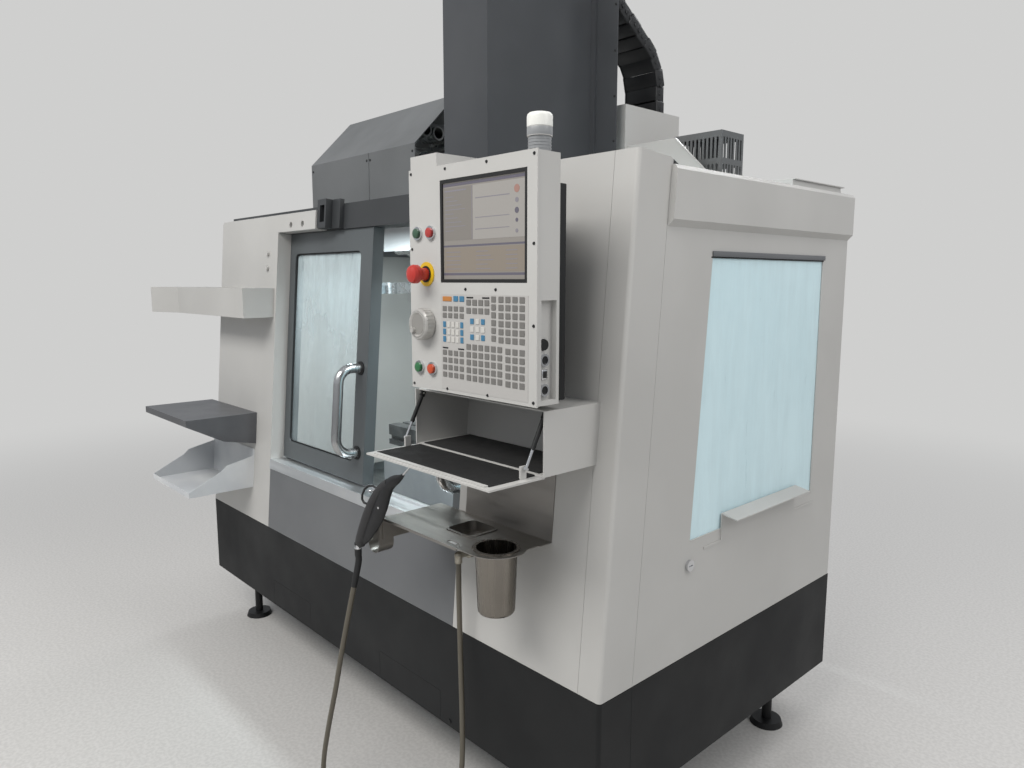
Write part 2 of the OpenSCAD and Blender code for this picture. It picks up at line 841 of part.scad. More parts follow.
// Head casting with its nose, the motor on top and the blocks on the column rails
module head_casting() {
  block_y = column_front_y - rail_h - 4;
  color("#b4b8b8") difference() {
    union() {
      box([-head_half_w, head_front_y, head_low_z], [head_half_w, back_plate_y, head_top_z]);
      box([-190, back_plate_y, head_low_z], [190, block_y, head_top_z + 20]);
      translate([0, spindle_y, nose_z + 20]) cylinder(r = 85, h = head_low_z - nose_z - 20);
      // Spindle motor
      translate([0, spindle_y, head_top_z]) cylinder(d = motor_d, h = motor_h);
      for (side = [-1, 1], z = [head_low_z, head_top_z - 100])
        translate([side * column_rail_x - 40, block_y, z]) cube([80, rail_h - 2, 110]);
    }
    translate([0, spindle_y, nose_z + 10]) cylinder(r = spindle_d / 2 + spindle_gap, h = 375);
    for (side = [-1, 1])
      translate([side * column_rail_x - rail_w / 2 - slide_gap, column_front_y - rail_h - slide_gap, nose_z])
        cube([rail_w + 2 * slide_gap, rail_h + 10, 700]);
  }
}

// Tall sheet cover round the head with a wide plate at its back
module head_cover() {
  h = cover_w / 2;
  step_half_w = h + 20;
  color("#4b4f52") {
    difference() {
      union() {
        box([-h, cover_front_y, cover_low_z], [h, cover_rear_y, cover_top_z]);
        box([-step_half_w, cover_rear_y - 12, cover_low_z], [step_half_w, cover_rear_y, cover_top_z]);
      }
      box([-h + sheet_t, cover_front_y + sheet_t, cover_low_z - 1],
        [h - sheet_t, cover_rear_y + 1, cover_top_z - sheet_t]);
    }
    difference() {
      box([-cover_flange, cover_rear_y, cover_low_z], [cover_flange, back_plate_y, cover_top_z]);
      box([-head_half_w - 0.5, cover_rear_y - 1, cover_low_z - 1],
        [head_half_w + 0.5, back_plate_y + 1, head_top_z + 0.5]);
    }
    // Bracket for the cable carrier
    box([carrier_x0, back_plate_y, 2440], [carrier_x1, back_plate_y + 12, 2600]);
  }
}

// Rotating spindle with its taper and drive keys
module spindle() {
  color("#c2c4c6") translate([0, spindle_y, 0]) difference() {
    union() {
      translate([0, 0, nose_z + 19]) cylinder(d = spindle_d, h = 350);
      translate([0, 0, nose_z]) cylinder(d = spindle_d + 18, h = 19);
      for (side = [-1, 1]) translate([side * 32 - 8, -8, nose_z - 5]) cube([16, 16, 6]);
    }
    translate([0, 0, nose_z - 0.5]) cylinder(r1 = taper_d / 2 + 0.07, r2 = taper_d / 2 - 9.6, h = 66.5);
    translate([0, 0, nose_z + 60]) cylinder(r = 8.5, h = 200);
  }
}

// Tool changer

// Disc with the ring of tool pockets
module carousel() {
  color("#9b9fa0") translate([disc_x, carousel_y, carousel_z]) rotate([0, 90, 0]) difference() {
    union() {
      cylinder(r = pocket_circle_r + 12, h = disc_t, $fn = 96);
      cylinder(r = 60, h = disc_t + 14);
      for (i = [0:pocket_count - 1]) rotate([0, 0, i * 360 / pocket_count])
        translate([pocket_circle_r, 0, 0]) cylinder(r = pocket_r, h = disc_t + pocket_l, $fn = 32);
    }
    translate([0, 0, -1]) cylinder(r = carousel_bore_r, h = disc_t + 20);
    for (i = [0:pocket_count - 1]) rotate([0, 0, i * 360 / pocket_count])
      translate([pocket_circle_r, 0, disc_t + 30]) cylinder(r1 = 12, r2 = 22.5, h = pocket_l - 29, $fn = 32);
    for (i = [0:5]) rotate([0, 0, i * 60 + 30]) translate([150, 0, -1]) cylinder(r = 50, h = disc_t + 2);
  }
}

// Double arm, parked along Y, on its shaft
module swap_arm() {
  color("#b0b4b6") translate([-arm_axis, spindle_y, arm_low_z]) {
    difference() {
      union() {
        translate([-28, -arm_axis, 0]) cube([56, 2 * arm_axis, arm_t]);
        for (side = [-1, 1]) translate([0, side * arm_axis, 0]) cylinder(r = 38, h = arm_t);
        cylinder(r = 46, h = arm_t);
      }
      for (side = [-1, 1]) translate([0, side * arm_axis, -1]) {
        cylinder(r = 25, h = arm_t + 2);
        rotate([0, 0, side * 90]) translate([-22, -60, 0]) rotate([0, 0, 90])
          translate([0, -22, 0]) cube([60, 44, arm_t + 2]);
      }
    }
    translate([0, 0, arm_t]) cylinder(r = 25, h = 170);
  }
}

// Frame that carries the carousel's shaft and the swap arm's drive
module changer_frame() {
  plate_x0 = disc_x - frame_gap - frame_t;
  plate_x1 = disc_x - frame_gap;
  drive_z = nose_z + 20;
  beam_y = changer_rear_y + 2;
  beam_rear = enclosure_d - sheet_t - brace_fold - 2;
  lug_y = column_front_y + 10;
  color("#6f7476") difference() {
    union() {
      yz_plate(plate_x0, plate_x1, [[changer_front_y + 80, changer_low_z + 80],
        [changer_front_y + 80, changer_edge_z - 8], [changer_front_y + 220, changer_edge_z + 132],
        [changer_front_y + 220, changer_edge_z + changer_slope - sheet_t],
        [beam_rear, changer_edge_z + changer_slope - sheet_t], [beam_rear, changer_low_z + 80]]);
      rod_x([plate_x1, carousel_y, carousel_z], carousel_bore_r + 14, frame_gap - 0.5);
      rod_x([plate_x1, carousel_y, carousel_z], carousel_bore_r - 0.3, 2 * frame_gap);
      // Beam to the column, with a lug beside it
      box([plate_x0, beam_y, carousel_z - 39], [-column_half_w - 60, beam_rear, carousel_z + 41]);
      box([-column_half_w - 62, beam_y, carousel_z - 39], [-column_half_w, lug_y, carousel_z + 41]);
      // Swap arm drive
      box([-arm_axis - 55, beam_y, drive_z], [-arm_axis + 45, lug_y, carousel_z - 29]);
      box([-arm_axis - 55, spindle_y - 60, drive_z], [-arm_axis + 45, beam_y, drive_z + 160]);
    }
    translate([-arm_axis, spindle_y, drive_z - 1]) cylinder(r = 25.3, h = 121);
  }
}

// Sheet cover over the carousel with a sloping front
module changer_cover() {
  top = changer_edge_z + changer_slope;
  color("#84898b") {
    difference() {
      yz_plate(-changer_left, -changer_right, [[changer_front_y, changer_low_z],
        [changer_front_y, changer_edge_z], [changer_front_y + changer_slope - 2, top],
        [changer_rear_y, top], [changer_rear_y, changer_low_z]]);
      yz_plate(-changer_left + sheet_t, -changer_right + 1, [[changer_front_y + sheet_t, changer_low_z - 1],
        [changer_front_y + sheet_t, changer_edge_z - 1.2],
        [changer_front_y + changer_slope - 0.8, top - sheet_t],
        [changer_rear_y + 1, top - sheet_t], [changer_rear_y + 1, changer_low_z - 1]]);
    }
    // Folded joint strip between the two halves of the cover
    box([-560, changer_front_y - 1.5, changer_low_z], [-556, changer_front_y, changer_edge_z]);
  }
}

// Cable carrier

link_pitch = 60;
link_h = 52;
carrier_x0 = 20;
carrier_x1 = 185;
carrier_y = 1380;
carrier_rise = 100;
carrier_bend = 190;
carrier_turn = 56;
carrier_arc = carrier_bend * carrier_turn * PI / 180;
carrier_run = 540;
carrier_links = floor(carrier_run / link_pitch);

// Place along the carrier's middle line: [y, z, turn] at a length s
function carrier_at(s) =
  s < carrier_rise ? [carrier_y, column_top_z + s, 0]
  : s < carrier_rise + carrier_arc
    ? let (a = (s - carrier_rise) / carrier_bend * 180 / PI)
      [carrier_y - carrier_bend * (1 - cos(a)), column_top_z + carrier_rise + carrier_bend * sin(a), a]
    : let (l = s - carrier_rise - carrier_arc)
      [carrier_y - carrier_bend * (1 - cos(carrier_turn)) - l * sin(carrier_turn),
       column_top_z + carrier_rise + carrier_bend * sin(carrier_turn) + l * cos(carrier_turn),
       carrier_turn];

// Corner of the carrier's side at a length s, at a distance n from its middle
function carrier_edge(s, n) =
  let (p = carrier_at(s)) [p[0] + n * cos(p[2]), p[1] + n * sin(p[2])];
// Half height along each link: full over the link, lower at the joint
link_steps = [[0.08, 0.84], [0.16, 1], [0.84, 1], [0.92, 0.84]];
carrier_outline = concat(
  [for (i = [0:carrier_links - 1], k = [0:3])
    carrier_edge((i + link_steps[k][0]) * link_pitch, link_h / 2 * link_steps[k][1])],
  [for (i = [carrier_links - 1:-1:0], k = [3:-1:0])
    carrier_edge((i + link_steps[k][0]) * link_pitch, -link_h / 2 * link_steps[k][1])]);

// Chain of links: two side strips, cross bars between them and a foot plate
module cable_carrier() {
  bar_l = link_pitch - 12;
  color("#1f2021") {
    for (x = [carrier_x0, carrier_x1 - 8]) yz_plate(x, x + 8, carrier_outline);
    for (i = [0:carrier_links - 1]) {
      p = carrier_at((i + 0.5) * link_pitch);
      for (n = [-1, 1]) translate([0, p[0], p[1]]) rotate([p[2], 0, 0])
        translate([carrier_x0 + 4, n * (link_h / 2 - 5) - 2.5, -bar_l / 2])
          cube([carrier_x1 - carrier_x0 - 8, 5, bar_l]);
    }
    box([carrier_x0 - 6, carrier_y - link_h / 2 - 5, column_top_z],
      [carrier_x1 + 6, carrier_y + link_h / 2 + 5, column_top_z + 8]);
  }
}

// Cabinet and coolant tank

cabinet_x0 = 350;
cabinet_x1 = 900;
cabinet_top_z = 1765;

// Control cabinet on the rear wall, with its door proud of the body
module control_cabinet() {
  color("#cdd0ce") {
    box([cabinet_x0, enclosure_d, seam_z], [cabinet_x1, cabinet_rear_y - 22, cabinet_top_z]);
    box([cabinet_x0 + 8, cabinet_rear_y - 22, seam_z + 10],
      [cabinet_x1 - 8, cabinet_rear_y, cabinet_top_z - 10]);
    // Top overhang against drips
    box([cabinet_x0 - 6, enclosure_d + 2, cabinet_top_z], [cabinet_x1 + 6, cabinet_rear_y - 6, cabinet_top_z + 3]);
  }
}

cage_x0 = 385;
cage_x1 = 585;
cage_y0 = 1200;
cage_y1 = 1345;
cage_z0 = cabinet_top_z + 3;
cage_z1 = cage_z0 + 204;

// Slotted vent cage on the cabinet
module vent_cage() {
  t = 2.5;
  cols = 11;
  side_cols = 7;
  pitch = (cage_x1 - cage_x0 - 16) / cols;
  side_pitch = (cage_y1 - cage_y0 - 16) / side_cols;
  color("#6d7174") difference() {
    box([cage_x0, cage_y0, cage_z0], [cage_x1, cage_y1, cage_z1]);
    box([cage_x0 + t, cage_y0 + t, cage_z0 - 1], [cage_x1 - t, cage_y1 - t, cage_z1 - t]);
    for (row = [0, 1], i = [0:cols - 1])
      translate([cage_x0 + 8 + pitch * (i + 0.25), cage_y0 - 1, cage_z0 + 18 + row * 92])
        cube([pitch * 0.5, cage_y1 - cage_y0 + 2, 72]);
    for (row = [0, 1], i = [0:side_cols - 1])
      translate([cage_x0 - 1, cage_y0 + 8 + side_pitch * (i + 0.25), cage_z0 + 18 + row * 92])
        cube([cage_x1 - cage_x0 + 2, side_pitch * 0.5, 72]);
  }
}

// Coolant tank on four feet with its lid and pump
module coolant_tank() {
  x0 = -880;
  x1 = -base_half_w - 0.5;
  y0 = 640;
  y1 = 1460;
  color("#4a4e50") {
    box([x0, y0, 50], [x1, y1, 196]);
    box([x0 - 0, y0 - 6, 196], [x1, y1 + 6, 202]);
    for (x = [x0 + 50, x1 - 50], y = [y0 + 60, y1 - 60]) translate([x, y, 0]) cylinder(r = 26, h = 50);
    translate([(x0 + x1) / 2, y1 - 130, 202]) {
      cylinder(r = 92, h = 20);
      translate([0, 0, 20]) cylinder(r = 74, h = 230);
      translate([0, 0, 250]) cylinder(r1 = 74, r2 = 50, h = 24);
      translate([70, -50, 90]) cube([34, 100, 80]);
    }
  }
}

// Pendant

// Black bracket on the front face with the arm and pin that carry the pendant
module pendant_bracket() {
  color("#222426") difference() {
    union() {
      box([pivot_x - 75, -20, pendant_z + 7], [pivot_x + 75, 4, pendant_z + 442]);
      box([pivot_x - 35, 0, pendant_z + 32], [pivot_x + 35, 140, pendant_z + 402]);
      box([pivot_x - 18, pivot_y - 35, pendant_z + 182], [pivot_x + 18, -20, pendant_z + 220]);
      translate([pivot_x, pivot_y, pendant_z + 220]) cylinder(r = pivot_r, h = 80);
    }
    behind_face();
  }
}

// Positions of the controls on the plate, from the machine's right side
button_left_x = half_w - 432;
button_right_x = half_w - 383;
stop_x = half_w - 401;
jog_x = half_w - 405;
button_top_z = pendant_z + 357;
button_low_z = pendant_z + 50;
stop_z = pendant_z + 265;
jog_z = pendant_z + 152;
button_r = 11;
stop_stem_r = 14;

// Pendant housing: shallow on the right, deep on the left, with the beacon's base
module pendant_body() {
  port_z0 = pendant_z + 12;
  port_z1 = pendant_z + 212;
  lug_z = pendant_z + 220 + slide_gap;
  color("#dcdddb") difference() {
    union() {
      box([pendant_x0 + 2, body_y0, pendant_z + 2], [pendant_x1 - 2, body_y1, pendant_z + pendant_h - 2]);
      box([pendant_x0 + 2, body_y1, pendant_z + 2], [pendant_x0 + 100, -22, pendant_z + pendant_h - 2]);
      box([pendant_x0 + 2, body_y0, pendant_z + pendant_h - 2],
        [pendant_x0 + 100, -22, pendant_z + pendant_h + 30]);
      // Lug over the pivot pin
      box([pivot_x - 27, body_y1, lug_z], [pivot_x + 27, pivot_y, lug_z + 130]);
      translate([pivot_x, pivot_y, lug_z]) cylinder(r = 27, h = 130);
      // Beacon base
      translate([pendant_x1 - 30, body_y0 + 31, pendant_z + pendant_h - 2]) {
        cylinder(r = 22, h = 30);
        translate([0, 0, 30]) cylinder(r = 25, h = 18);
      }
    }
    // Hollow behind the plate
    box([pendant_x0 + 6, body_y0 - 1, pendant_z + 6], [pendant_x1 - 24, body_y1 - 4, pendant_z + pendant_h - 6]);
    box([pendant_x0 + 6, body_y1 - 5, pendant_z + 6], [pendant_x0 + 96, -26, pendant_z + pendant_h + 26]);
    // Recess with the ports in the right side
    box([pendant_x1 - 16, body_y0 + 10, port_z0], [pendant_x1, body_y1 - 8, port_z1]);
    for (z = [port_z0 + 19, port_z0 + 80, port_z0 + 111])
      rod_x([pendant_x1 - 23, (body_y0 + body_y1) / 2, z], 12, 20);
    translate([pivot_x, pivot_y, lug_z - 1]) cylinder(r = pivot_r + slide_gap, h = 90);
  }
}

// Front plate with the screen opening, the holes of the controls and the stop's collar
module pendant_plate() {
  sx = half_w - 350;
  sz = pendant_z + 246;
  color("#e3e3e0") {
    difference() {
      box([pendant_x0, plate_y, pendant_z], [pendant_x1, body_y0, pendant_z + pendant_h]);
      box([sx, plate_y - 1, sz], [sx + screen_w, body_y0 + 1, sz + screen_h]);
      for (x = [button_left_x, button_right_x], z = [button_low_z, button_top_z])
        rod_y([x, plate_y - 1, z], button_r + 0.4, 10);
      rod_y([stop_x, plate_y - 1, stop_z], stop_stem_r + 0.4, 10);
      rod_y([jog_x, plate_y - 1, jog_z], 9, 10);
    }
    difference() {
      rod_y([stop_x, plate_y - 2.5, stop_z], 27, 2.5);
      rod_y([stop_x, plate_y - 3, stop_z], stop_stem_r + 0.4, 10);
    }
    for (x = [button_left_x, button_right_x], z = [button_low_z, button_top_z]) difference() {
      rod_y([x, plate_y - 5, z], 15, 5);
      rod_y([x, plate_y - 6, z], button_r + 0.4, 10);
    }
  }
}

// Screen seated behind the plate
module screen() {
  sx = half_w - 350;
  sz = pendant_z + 246;
  color("#2c3236") box([sx - 8, body_y0, sz - 8], [sx + screen_w + 3, body_y0 + 8, sz + screen_h + 8]);
}

// Groups of keys: first column, first row from the top, columns, rows, pitches, size
key_groups = [
  [-338, 368, 4, 2, 18.7, 15.5, 14, 12], [-338, 333, 5, 3, 14, 17.5, 10, 13],
  [-338, 271, 4, 4, 18.7, 17, 14, 12], [-325, 391, 1, 1, 22, 15, 38, 12],
  [-291, 391, 2, 1, 12, 15, 10, 12], [-252, 382, 4, 2, 19.7, 17, 15, 13],
  [-241, 343, 3, 3, 18.5, 17, 13, 13], [-172, 391, 1, 6, 20, 17, 15, 13],
  [-148, 391, 4, 6, 21.3, 17, 17, 13], [-252, 287, 6, 5, 19.3, 16.5, 15, 13],
  [-129, 285, 3, 5, 22, 17.2, 17, 13]];

// Membrane keypad with raised keys
module keypad() {
  base_t = 0.6;
  key_t = 1.4;
  color("#b9bbba") {
    box([half_w - 354, plate_y - base_t, pendant_z + 6], [half_w - 66, plate_y, pendant_z + 222]);
    for (g = key_groups, i = [0:g[2] - 1], j = [0:g[3] - 1])
      translate([half_w + g[0] + i * g[4] - g[6] / 2, plate_y - base_t - key_t,
        pendant_z - 179 + g[1] - j * g[5] - g[7] / 2]) cube([g[6], key_t, g[7]]);
  }
}

// White lens of the beacon
module beacon() {
  z0 = pendant_z + pendant_h - 2 + 48;
  color("#f2f2ee") translate([pendant_x1 - 30, body_y0 + 31, z0]) {
    cylinder(r = 25, h = 22);
    translate([0, 0, 22]) cylinder(r1 = 25, r2 = 22, h = 3);
  }
}

// Red mushroom of the emergency stop on its stem
module e_stop() {
  color("#c4382f") {
    rod_y([stop_x, plate_y - 24, stop_z], stop_stem_r, 30);
    translate([stop_x, plate_y - 24, stop_z]) rotate([90, 0, 0]) rotate_extrude($fn = 64)
      polygon([[0, 0], [17, 0], [21, 5], [21, 15], [18, 21], [10, 24], [0, 25]]);
  }
}

// Jog wheel with its knurled rim and crank peg
module jog_wheel() {
  color("#c8cac9") {
    translate([jog_x, plate_y - 0.4, jog_z]) rotate([90, 0, 0]) difference() {
      rotate_extrude($fn = 72) polygon([[0, 0], [34, 0], [36, 3], [36, 22], [33, 26], [27, 28], [24, 25], [0, 25]]);
      for (i = [0:23]) rotate([0, 0, i * 15]) translate([37.4, 0, 2]) cylinder(r = 2.6, h = 21, $fn = 16);
    }
    rod_y([jog_x, plate_y - 0.5, jog_z], 8.5, 8);
    rod_y([jog_x - 14, plate_y - 34, jog_z - 14], 6, 10);
  }
}

// Round push button
module button_at(x, z) {
  rod_y([x, plate_y - 9, z], button_r, 16);
}

module power_on_button() {
  color("#3f7a4a") button_at(button_left_x, button_top_z);
}

module power_off_button() {
  color("#b8403a") button_at(button_right_x, button_top_z);
}

module cycle_start_button() {
  color("#2f8a46") button_at(button_left_x, button_low_z);
}

module feed_hold_button() {
  color("#d0512f") button_at(button_right_x, button_low_z);
}

// Storage box with its drop-down door

module storage_box() {
  t = box_t;
  color("#d8d9d7") difference() {
    union() {
      difference() {
        box([box_x0, box_front_y, box_low_z], [box_x1, 120, box_top_z]);
        box([box_x0 + t, box_front_y - 1, box_low_z + t], [box_x1 - t, 121, box_top_z - t]);
      }
      intersection() {
        on_face() translate([box_x0, -t, 0]) cube([box_w, t + 10, 900]);
        box([box_x0, box_front_y, box_low_z], [box_x1, 120, box_top_z]);
      }
    }
    behind_face();
    // Room for the door's hinge, and for the closed door in front of the top
    box([box_x0 + t, box_front_y - 1, box_low_z - 1], [box_x1 - t, hinge_y + 2.8, box_low_z + t + 1]);
    box([box_x0 + t, box_front_y - 1, box_top_z - t - 1], [box_x1 - t, hinge_y + 5, box_top_z + 1]);
  }
  // Pins in the side walls that carry the struts
  rod_x([box_x0 + t - eps, strut_top[0], strut_top[1]], pin_r, strut_x + 4 - t);
  rod_x([box_x1 - strut_x - 4, strut_top[0], strut_top[1]], pin_r, strut_x + 4 - t + eps);
}

// Door hanging open and level, with its mat and the lugs of the struts
module storage_door() {
  x0 = box_x0 + box_t + 1;
  x1 = box_x1 - box_t - 1;
  color("#cfd1cf") {
    box([x0, flap_y - flap_l, flap_z - flap_t], [x1, hinge_y, flap_z]);
    rod_x([x0, hinge_y, hinge_z], 3, x1 - x0);
    box([x0 + 22, flap_y - flap_l + 6, flap_z], [x1 - 22, flap_y - 6, flap_z + mat_t]);
    for (x = [x0 + 14.5, x1 - 19.5])
      box([x, strut_low[0] - 8, flap_z], [x + 5, strut_low[0] + 8, strut_low[1] + 7]);
  }
}

// Both struts, from their upper pins towards the lugs
strut_dir = strut_low - strut_top;
strut_len = norm(strut_dir);
strut_angle = atan2(strut_dir[0], -strut_dir[1]);

module at_struts() {
  for (x = [box_x0 + strut_x, box_x1 - strut_x])
    translate([x, strut_top[0], strut_top[1]]) rotate([strut_angle, 0, 0]) children();
}

module strut_tubes() {
  color("#3b3d3f") at_struts() difference() {
    union() {
      translate([0, 0, -76]) cylinder(r = strut_r, h = 70);
      translate([-3, -6, -8]) cube([6, 12, 13]);
    }
    translate([0, 0, -77]) cylinder(r = rod_r + 0.3, h = 64);
    translate([-4, 0, 0]) rotate([0, 90, 0]) cylinder(r = pin_r + pin_gap, h = 8);
  }
}

module strut_rods() {
  color("#d2d4d5") at_struts() {
    translate([0, 0, 4 - strut_len]) cylinder(r = rod_r, h = strut_len - 54);
    translate([-3, -5, -strut_len]) cube([6, 10, 5]);
  }
}

// Stainless shelf with the cup hole, the pan recess and the gun hook

module accessory_shelf() {
  t = 2;
  z = seam_z + shelf_h * cos(front_lean);
  back_y = face_y(z);
  front = back_y - shelf_d;
  flange_h = shelf_h - sill_h - 4;
  nose_a = 50;
  fold_h = 5;
  color("#bfc1c0") {
    difference() {
      union() {
        // Back plate up to the storage box
        on_face() translate([half_open + 30, -t, shelf_h])
          cube([shelf_x1 - half_open - 30, t, face_h(box_low_z) - shelf_h - 2]);
        // Shelf plate with a round nose on the right
        box([shelf_x0, front, z], [cup_x, back_y, z + t]);
        translate([0, 0, z]) linear_extrude(t) polygon([
          [cup_x, cup_y], [cup_x + (cup_y - front) * sin(nose_a), cup_y - (cup_y - front) * cos(nose_a)],
          [shelf_x1 - 4, back_y - 44], [shelf_x1, back_y - 40], [shelf_x1, back_y], [cup_x, back_y]]);
        translate([cup_x, cup_y, z]) cylinder(r = cup_y - front, h = t);
        // Folded front edge and left flange
        box([shelf_x0, front, z - fold_h], [cup_x - 60, front + t, z]);
        box([shelf_x0, front, z - flange_h], [shelf_x0 + t, back_y - 3, z]);
        // Raised lip of the pan
        translate([0, 0, z + t]) linear_extrude(2.5) pan_2d(5);
      }
      translate([cup_x, cup_y, z - 1]) cylinder(r = cup_d / 2 + 0.4, h = t + 2);
      translate([0, 0, z - 1]) linear_extrude(t + 5) pan_2d(0);
      // Small slot and hole beside the cup
      box([pan_x0 + pan_w - 19, front + 14, z - 1], [pan_x0 + pan_w + 13, front + 26, z + t + 1]);
      translate([pan_x0 + pan_w + 27, front + 14, z - 1]) cylinder(r = 3, h = t + 2);
      behind_face();
    }
    // Shallow pan set in the shelf
    difference() {
      translate([0, 0, z - 24]) linear_extrude(24 + t + 2.5) pan_2d(0);
      translate([0, 0, z - 22]) linear_extrude(40) pan_2d(-t);
    }
    // Hook for the air gun: a strip folded into a J, fixed under the shelf's end
    translate([shelf_x0, hook_y, z - hook_h]) {
      box([-2, -hook_w / 2, 0], [0, hook_w / 2, hook_h + t]);
      translate([-hook_r, -hook_w / 2, 0]) rotate([-90, 0, 0]) intersection() {
        difference() {
          cylinder(r = hook_r, h = hook_w);
          translate([0, 0, -1]) cylinder(r = hook_r - 2, h = hook_w + 2);
        }
        translate([-hook_r - 3, 0, -1]) cube([2 * hook_r + 6, hook_r + 3, hook_w + 2]);
      }
      box([-2 * hook_r, -hook_w / 2, 0], [2 - 2 * hook_r, hook_w / 2, 50]);
    }
  }
}

// Outline of the pan with rounded corners, grown by m
module pan_2d(m) {
  translate([pan_x0, pan_y0]) offset(r = pan_r + m) offset(delta = -pan_r)
    square([pan_w, pan_y1 - pan_y0]);
}

// Stainless cup that hangs by its rim in the shelf
module chip_cup() {
  z = seam_z + shelf_h * cos(front_lean) + 2;
  r = cup_d / 2;
  color("#c6c7c5") translate([cup_x, cup_y, z]) rotate_extrude($fn = 72) polygon([
    [0, -cup_h], [r - 15, -cup_h], [r - 10, -cup_h + 2], [r - 7, -cup_h + 6], [r - 6, -cup_h + 12],
    [r - 1, -10], [r - 1, 0.3], [r + 6, 0.3], [r + 6, 2], [r - 3, 2], [r - 7.8, -cup_h + 12.5],
    [r - 9, -cup_h + 7], [r - 11.5, -cup_h + 3.8], [r - 15.5, -cup_h + 1.8], [0, -cup_h + 1.8]]);
}

// Air gun, hose and fitting

gun = [half_w - 662, -200];
gun_z = 752;

// Air gun resting in the hook, its hose end at the bottom
module air_gun() {
  t = 22;
  color("#2a2c2d") translate([gun[0], gun[1], gun_z]) rotate([0, 0, 8]) {
    cylinder(r = 9, h = 24);
    // Grip and head, cut from one plate
    translate([0, t / 2, 0]) rotate([90, 0, 0]) linear_extrude(t) polygon([
      [-10, 20], [14, 20], [40, 56], [80, 76], [108, 113], [128, 152], [142, 180], [164, 204],
      [167, 216], [154, 222], [126, 212], [98, 197], [74, 176], [62, 148], [53, 113], [29, 76], [0, 44]]);
    // Trigger and its guard
    translate([0, 4, 0]) rotate([90, 0, 0]) linear_extrude(8) {
      translate([50, 155]) difference() {
        circle(r = 22);
        circle(r = 17);
      }
      polygon([[66, 176], [52, 166], [44, 148], [48, 147], [58, 160], [68, 166]]);
    }
    // Nozzle
    translate([158, 0, 207]) rotate([0, 40, 0]) cylinder(r = 5, h = 66);
  }
}

hose_r = 7;
// Route of the hose from the fitting to the gun
hose_route = [[636, -34, 730], [636, -34, 690], [636, -34, 650], [641, -36, 540], [647, -38, 420], [655, -42, 300],
  [664, -52, 190], [672, -76, 100], [672, -118, 40], [658, -170, 12], [626, -224, 7.5],
  [575, -255, 7.5], [512, -272, 7.5], [446, -278, 7.5], [386, -276, 9], [340, -272, 24],
  [316, -268, 66], [318, -264, 140], [340, -258, 240], [368, -250, 350], [392, -242, 460],
  [410, -230, 560], [420, -214, 650], [423, -200, 715], [423, -200, 735],
  [423, -200, 752]];

// Smooth curve through the route's points
function hose_point(p0, p1, p2, p3, t) =
  0.5 * (2 * p1 + t * (p2 - p0) + t * t * (2 * p0 - 5 * p1 + 4 * p2 - p3)
    + t * t * t * (3 * p1 - p0 - 3 * p2 + p3));
hose_steps = 3;
hose_line = concat(
  [for (i = [0:len(hose_route) - 2], k = [0:hose_steps - 1])
    hose_point(hose_route[max(i - 1, 0)], hose_route[i], hose_route[i + 1],
      hose_route[min(i + 2, len(hose_route) - 1)], k / hose_steps)],
  [hose_route[len(hose_route) - 1]]);

function unit(v) = v / norm(v);
// Direction of the line at point i
function line_dir(line, i) = unit(line[min(i + 1, len(line) - 1)] - line[max(i - 1, 0)]);
// Sideways vector carried along the line without twist
function side_vectors(line, i = 0, n = [0, 1, 0], out = []) =
  i == len(line) ? out
  : let (d = line_dir(line, i), m = unit(n - (n * d) * d))
    side_vectors(line, i + 1, m, concat(out, [m]));

module swept_tube(line, r, sides = 8) {
  normals = side_vectors(line);
  rings = [for (i = [0:len(line) - 1], k = [0:sides - 1])
    let (d = line_dir(line, i), n = normals[i], b = cross(d, n), a = 360 * k / sides)
    line[i] + r * (cos(a) * n + sin(a) * b)];
  last = (len(line) - 1) * sides;
  faces = concat(
    [[for (k = [0:sides - 1]) sides - 1 - k]],
    [for (i = [0:len(line) - 2], k = [0:sides - 1])
      [i * sides + k, i * sides + (k + 1) % sides,
       (i + 1) * sides + (k + 1) % sides, (i + 1) * sides + k]],
    [[for (k = [0:sides - 1]) last + k]]);
  polyhedron(points = rings, faces = [for (f = faces) [for (k = [len(f) - 1:-1:0]) f[k]]]);
}

module air_hose() {
  color("#6b6a5c") swept_tube(hose_line, hose_r);
}

// Elbow on the front face that the hose comes out of
module hose_fitting() {
  p = hose_route[0];
  color("#b8a35a") difference() {
    union() {
      translate(p) cylinder(r = 10, h = 26);
      translate([p[0], p[1], p[2] + 20]) sphere(r = 11);
      rod_y([p[0], p[1], p[2] + 20], 9, 80);
      rod_y([p[0], p[1] + 30, p[2] + 20], 15, 60);
    }
    behind_face();
  }
}

// Shelves on the left

// Tool tray with two rows of holder holes and an angled wing at its end
module upper_tray() {
  t = 2.5;
  holes = 7;
  hole_pitch = (tray_l - 60) / holes;
  color("#d0d2d1") difference() {
    union() {
      // Top plate
      box([tray_x0, -tray_out, tray_z + tray_h - t], [tray_x1, 120, tray_z + tray_h]);
      // Front apron and right side
      box([tray_x0, -tray_out, tray_z], [tray_x1, -tray_out + t, tray_z + tray_h]);
      box([tray_x1 - t, -tray_out, tray_z], [tray_x1, 120, tray_z + tray_h]);
      // Wing that carries on past the machine's left end
      translate([tray_x0, -tray_out, tray_z]) linear_extrude(tray_h)
        polygon([[0, 0], [-tray_wing[0], -tray_wing[1]], [-tray_wing[0], -tray_wing[1] + t], [0, t]]);
      translate([tray_x0, -tray_out, tray_z + tray_h - t]) linear_extrude(t)
        polygon([[0, 0], [-tray_wing[0], -tray_wing[1]], [-tray_wing[0], 60], [0, 90]]);
    }
    for (row = [0, 1], i = [0:holes - 1])
      translate([tray_x0 + 60 + (i + 0.5) * hole_pitch - 10, -tray_out + 36 + row * 58, tray_z])
        cylinder(r = 23, h = tray_h + 1);
    behind_face();
  }
}

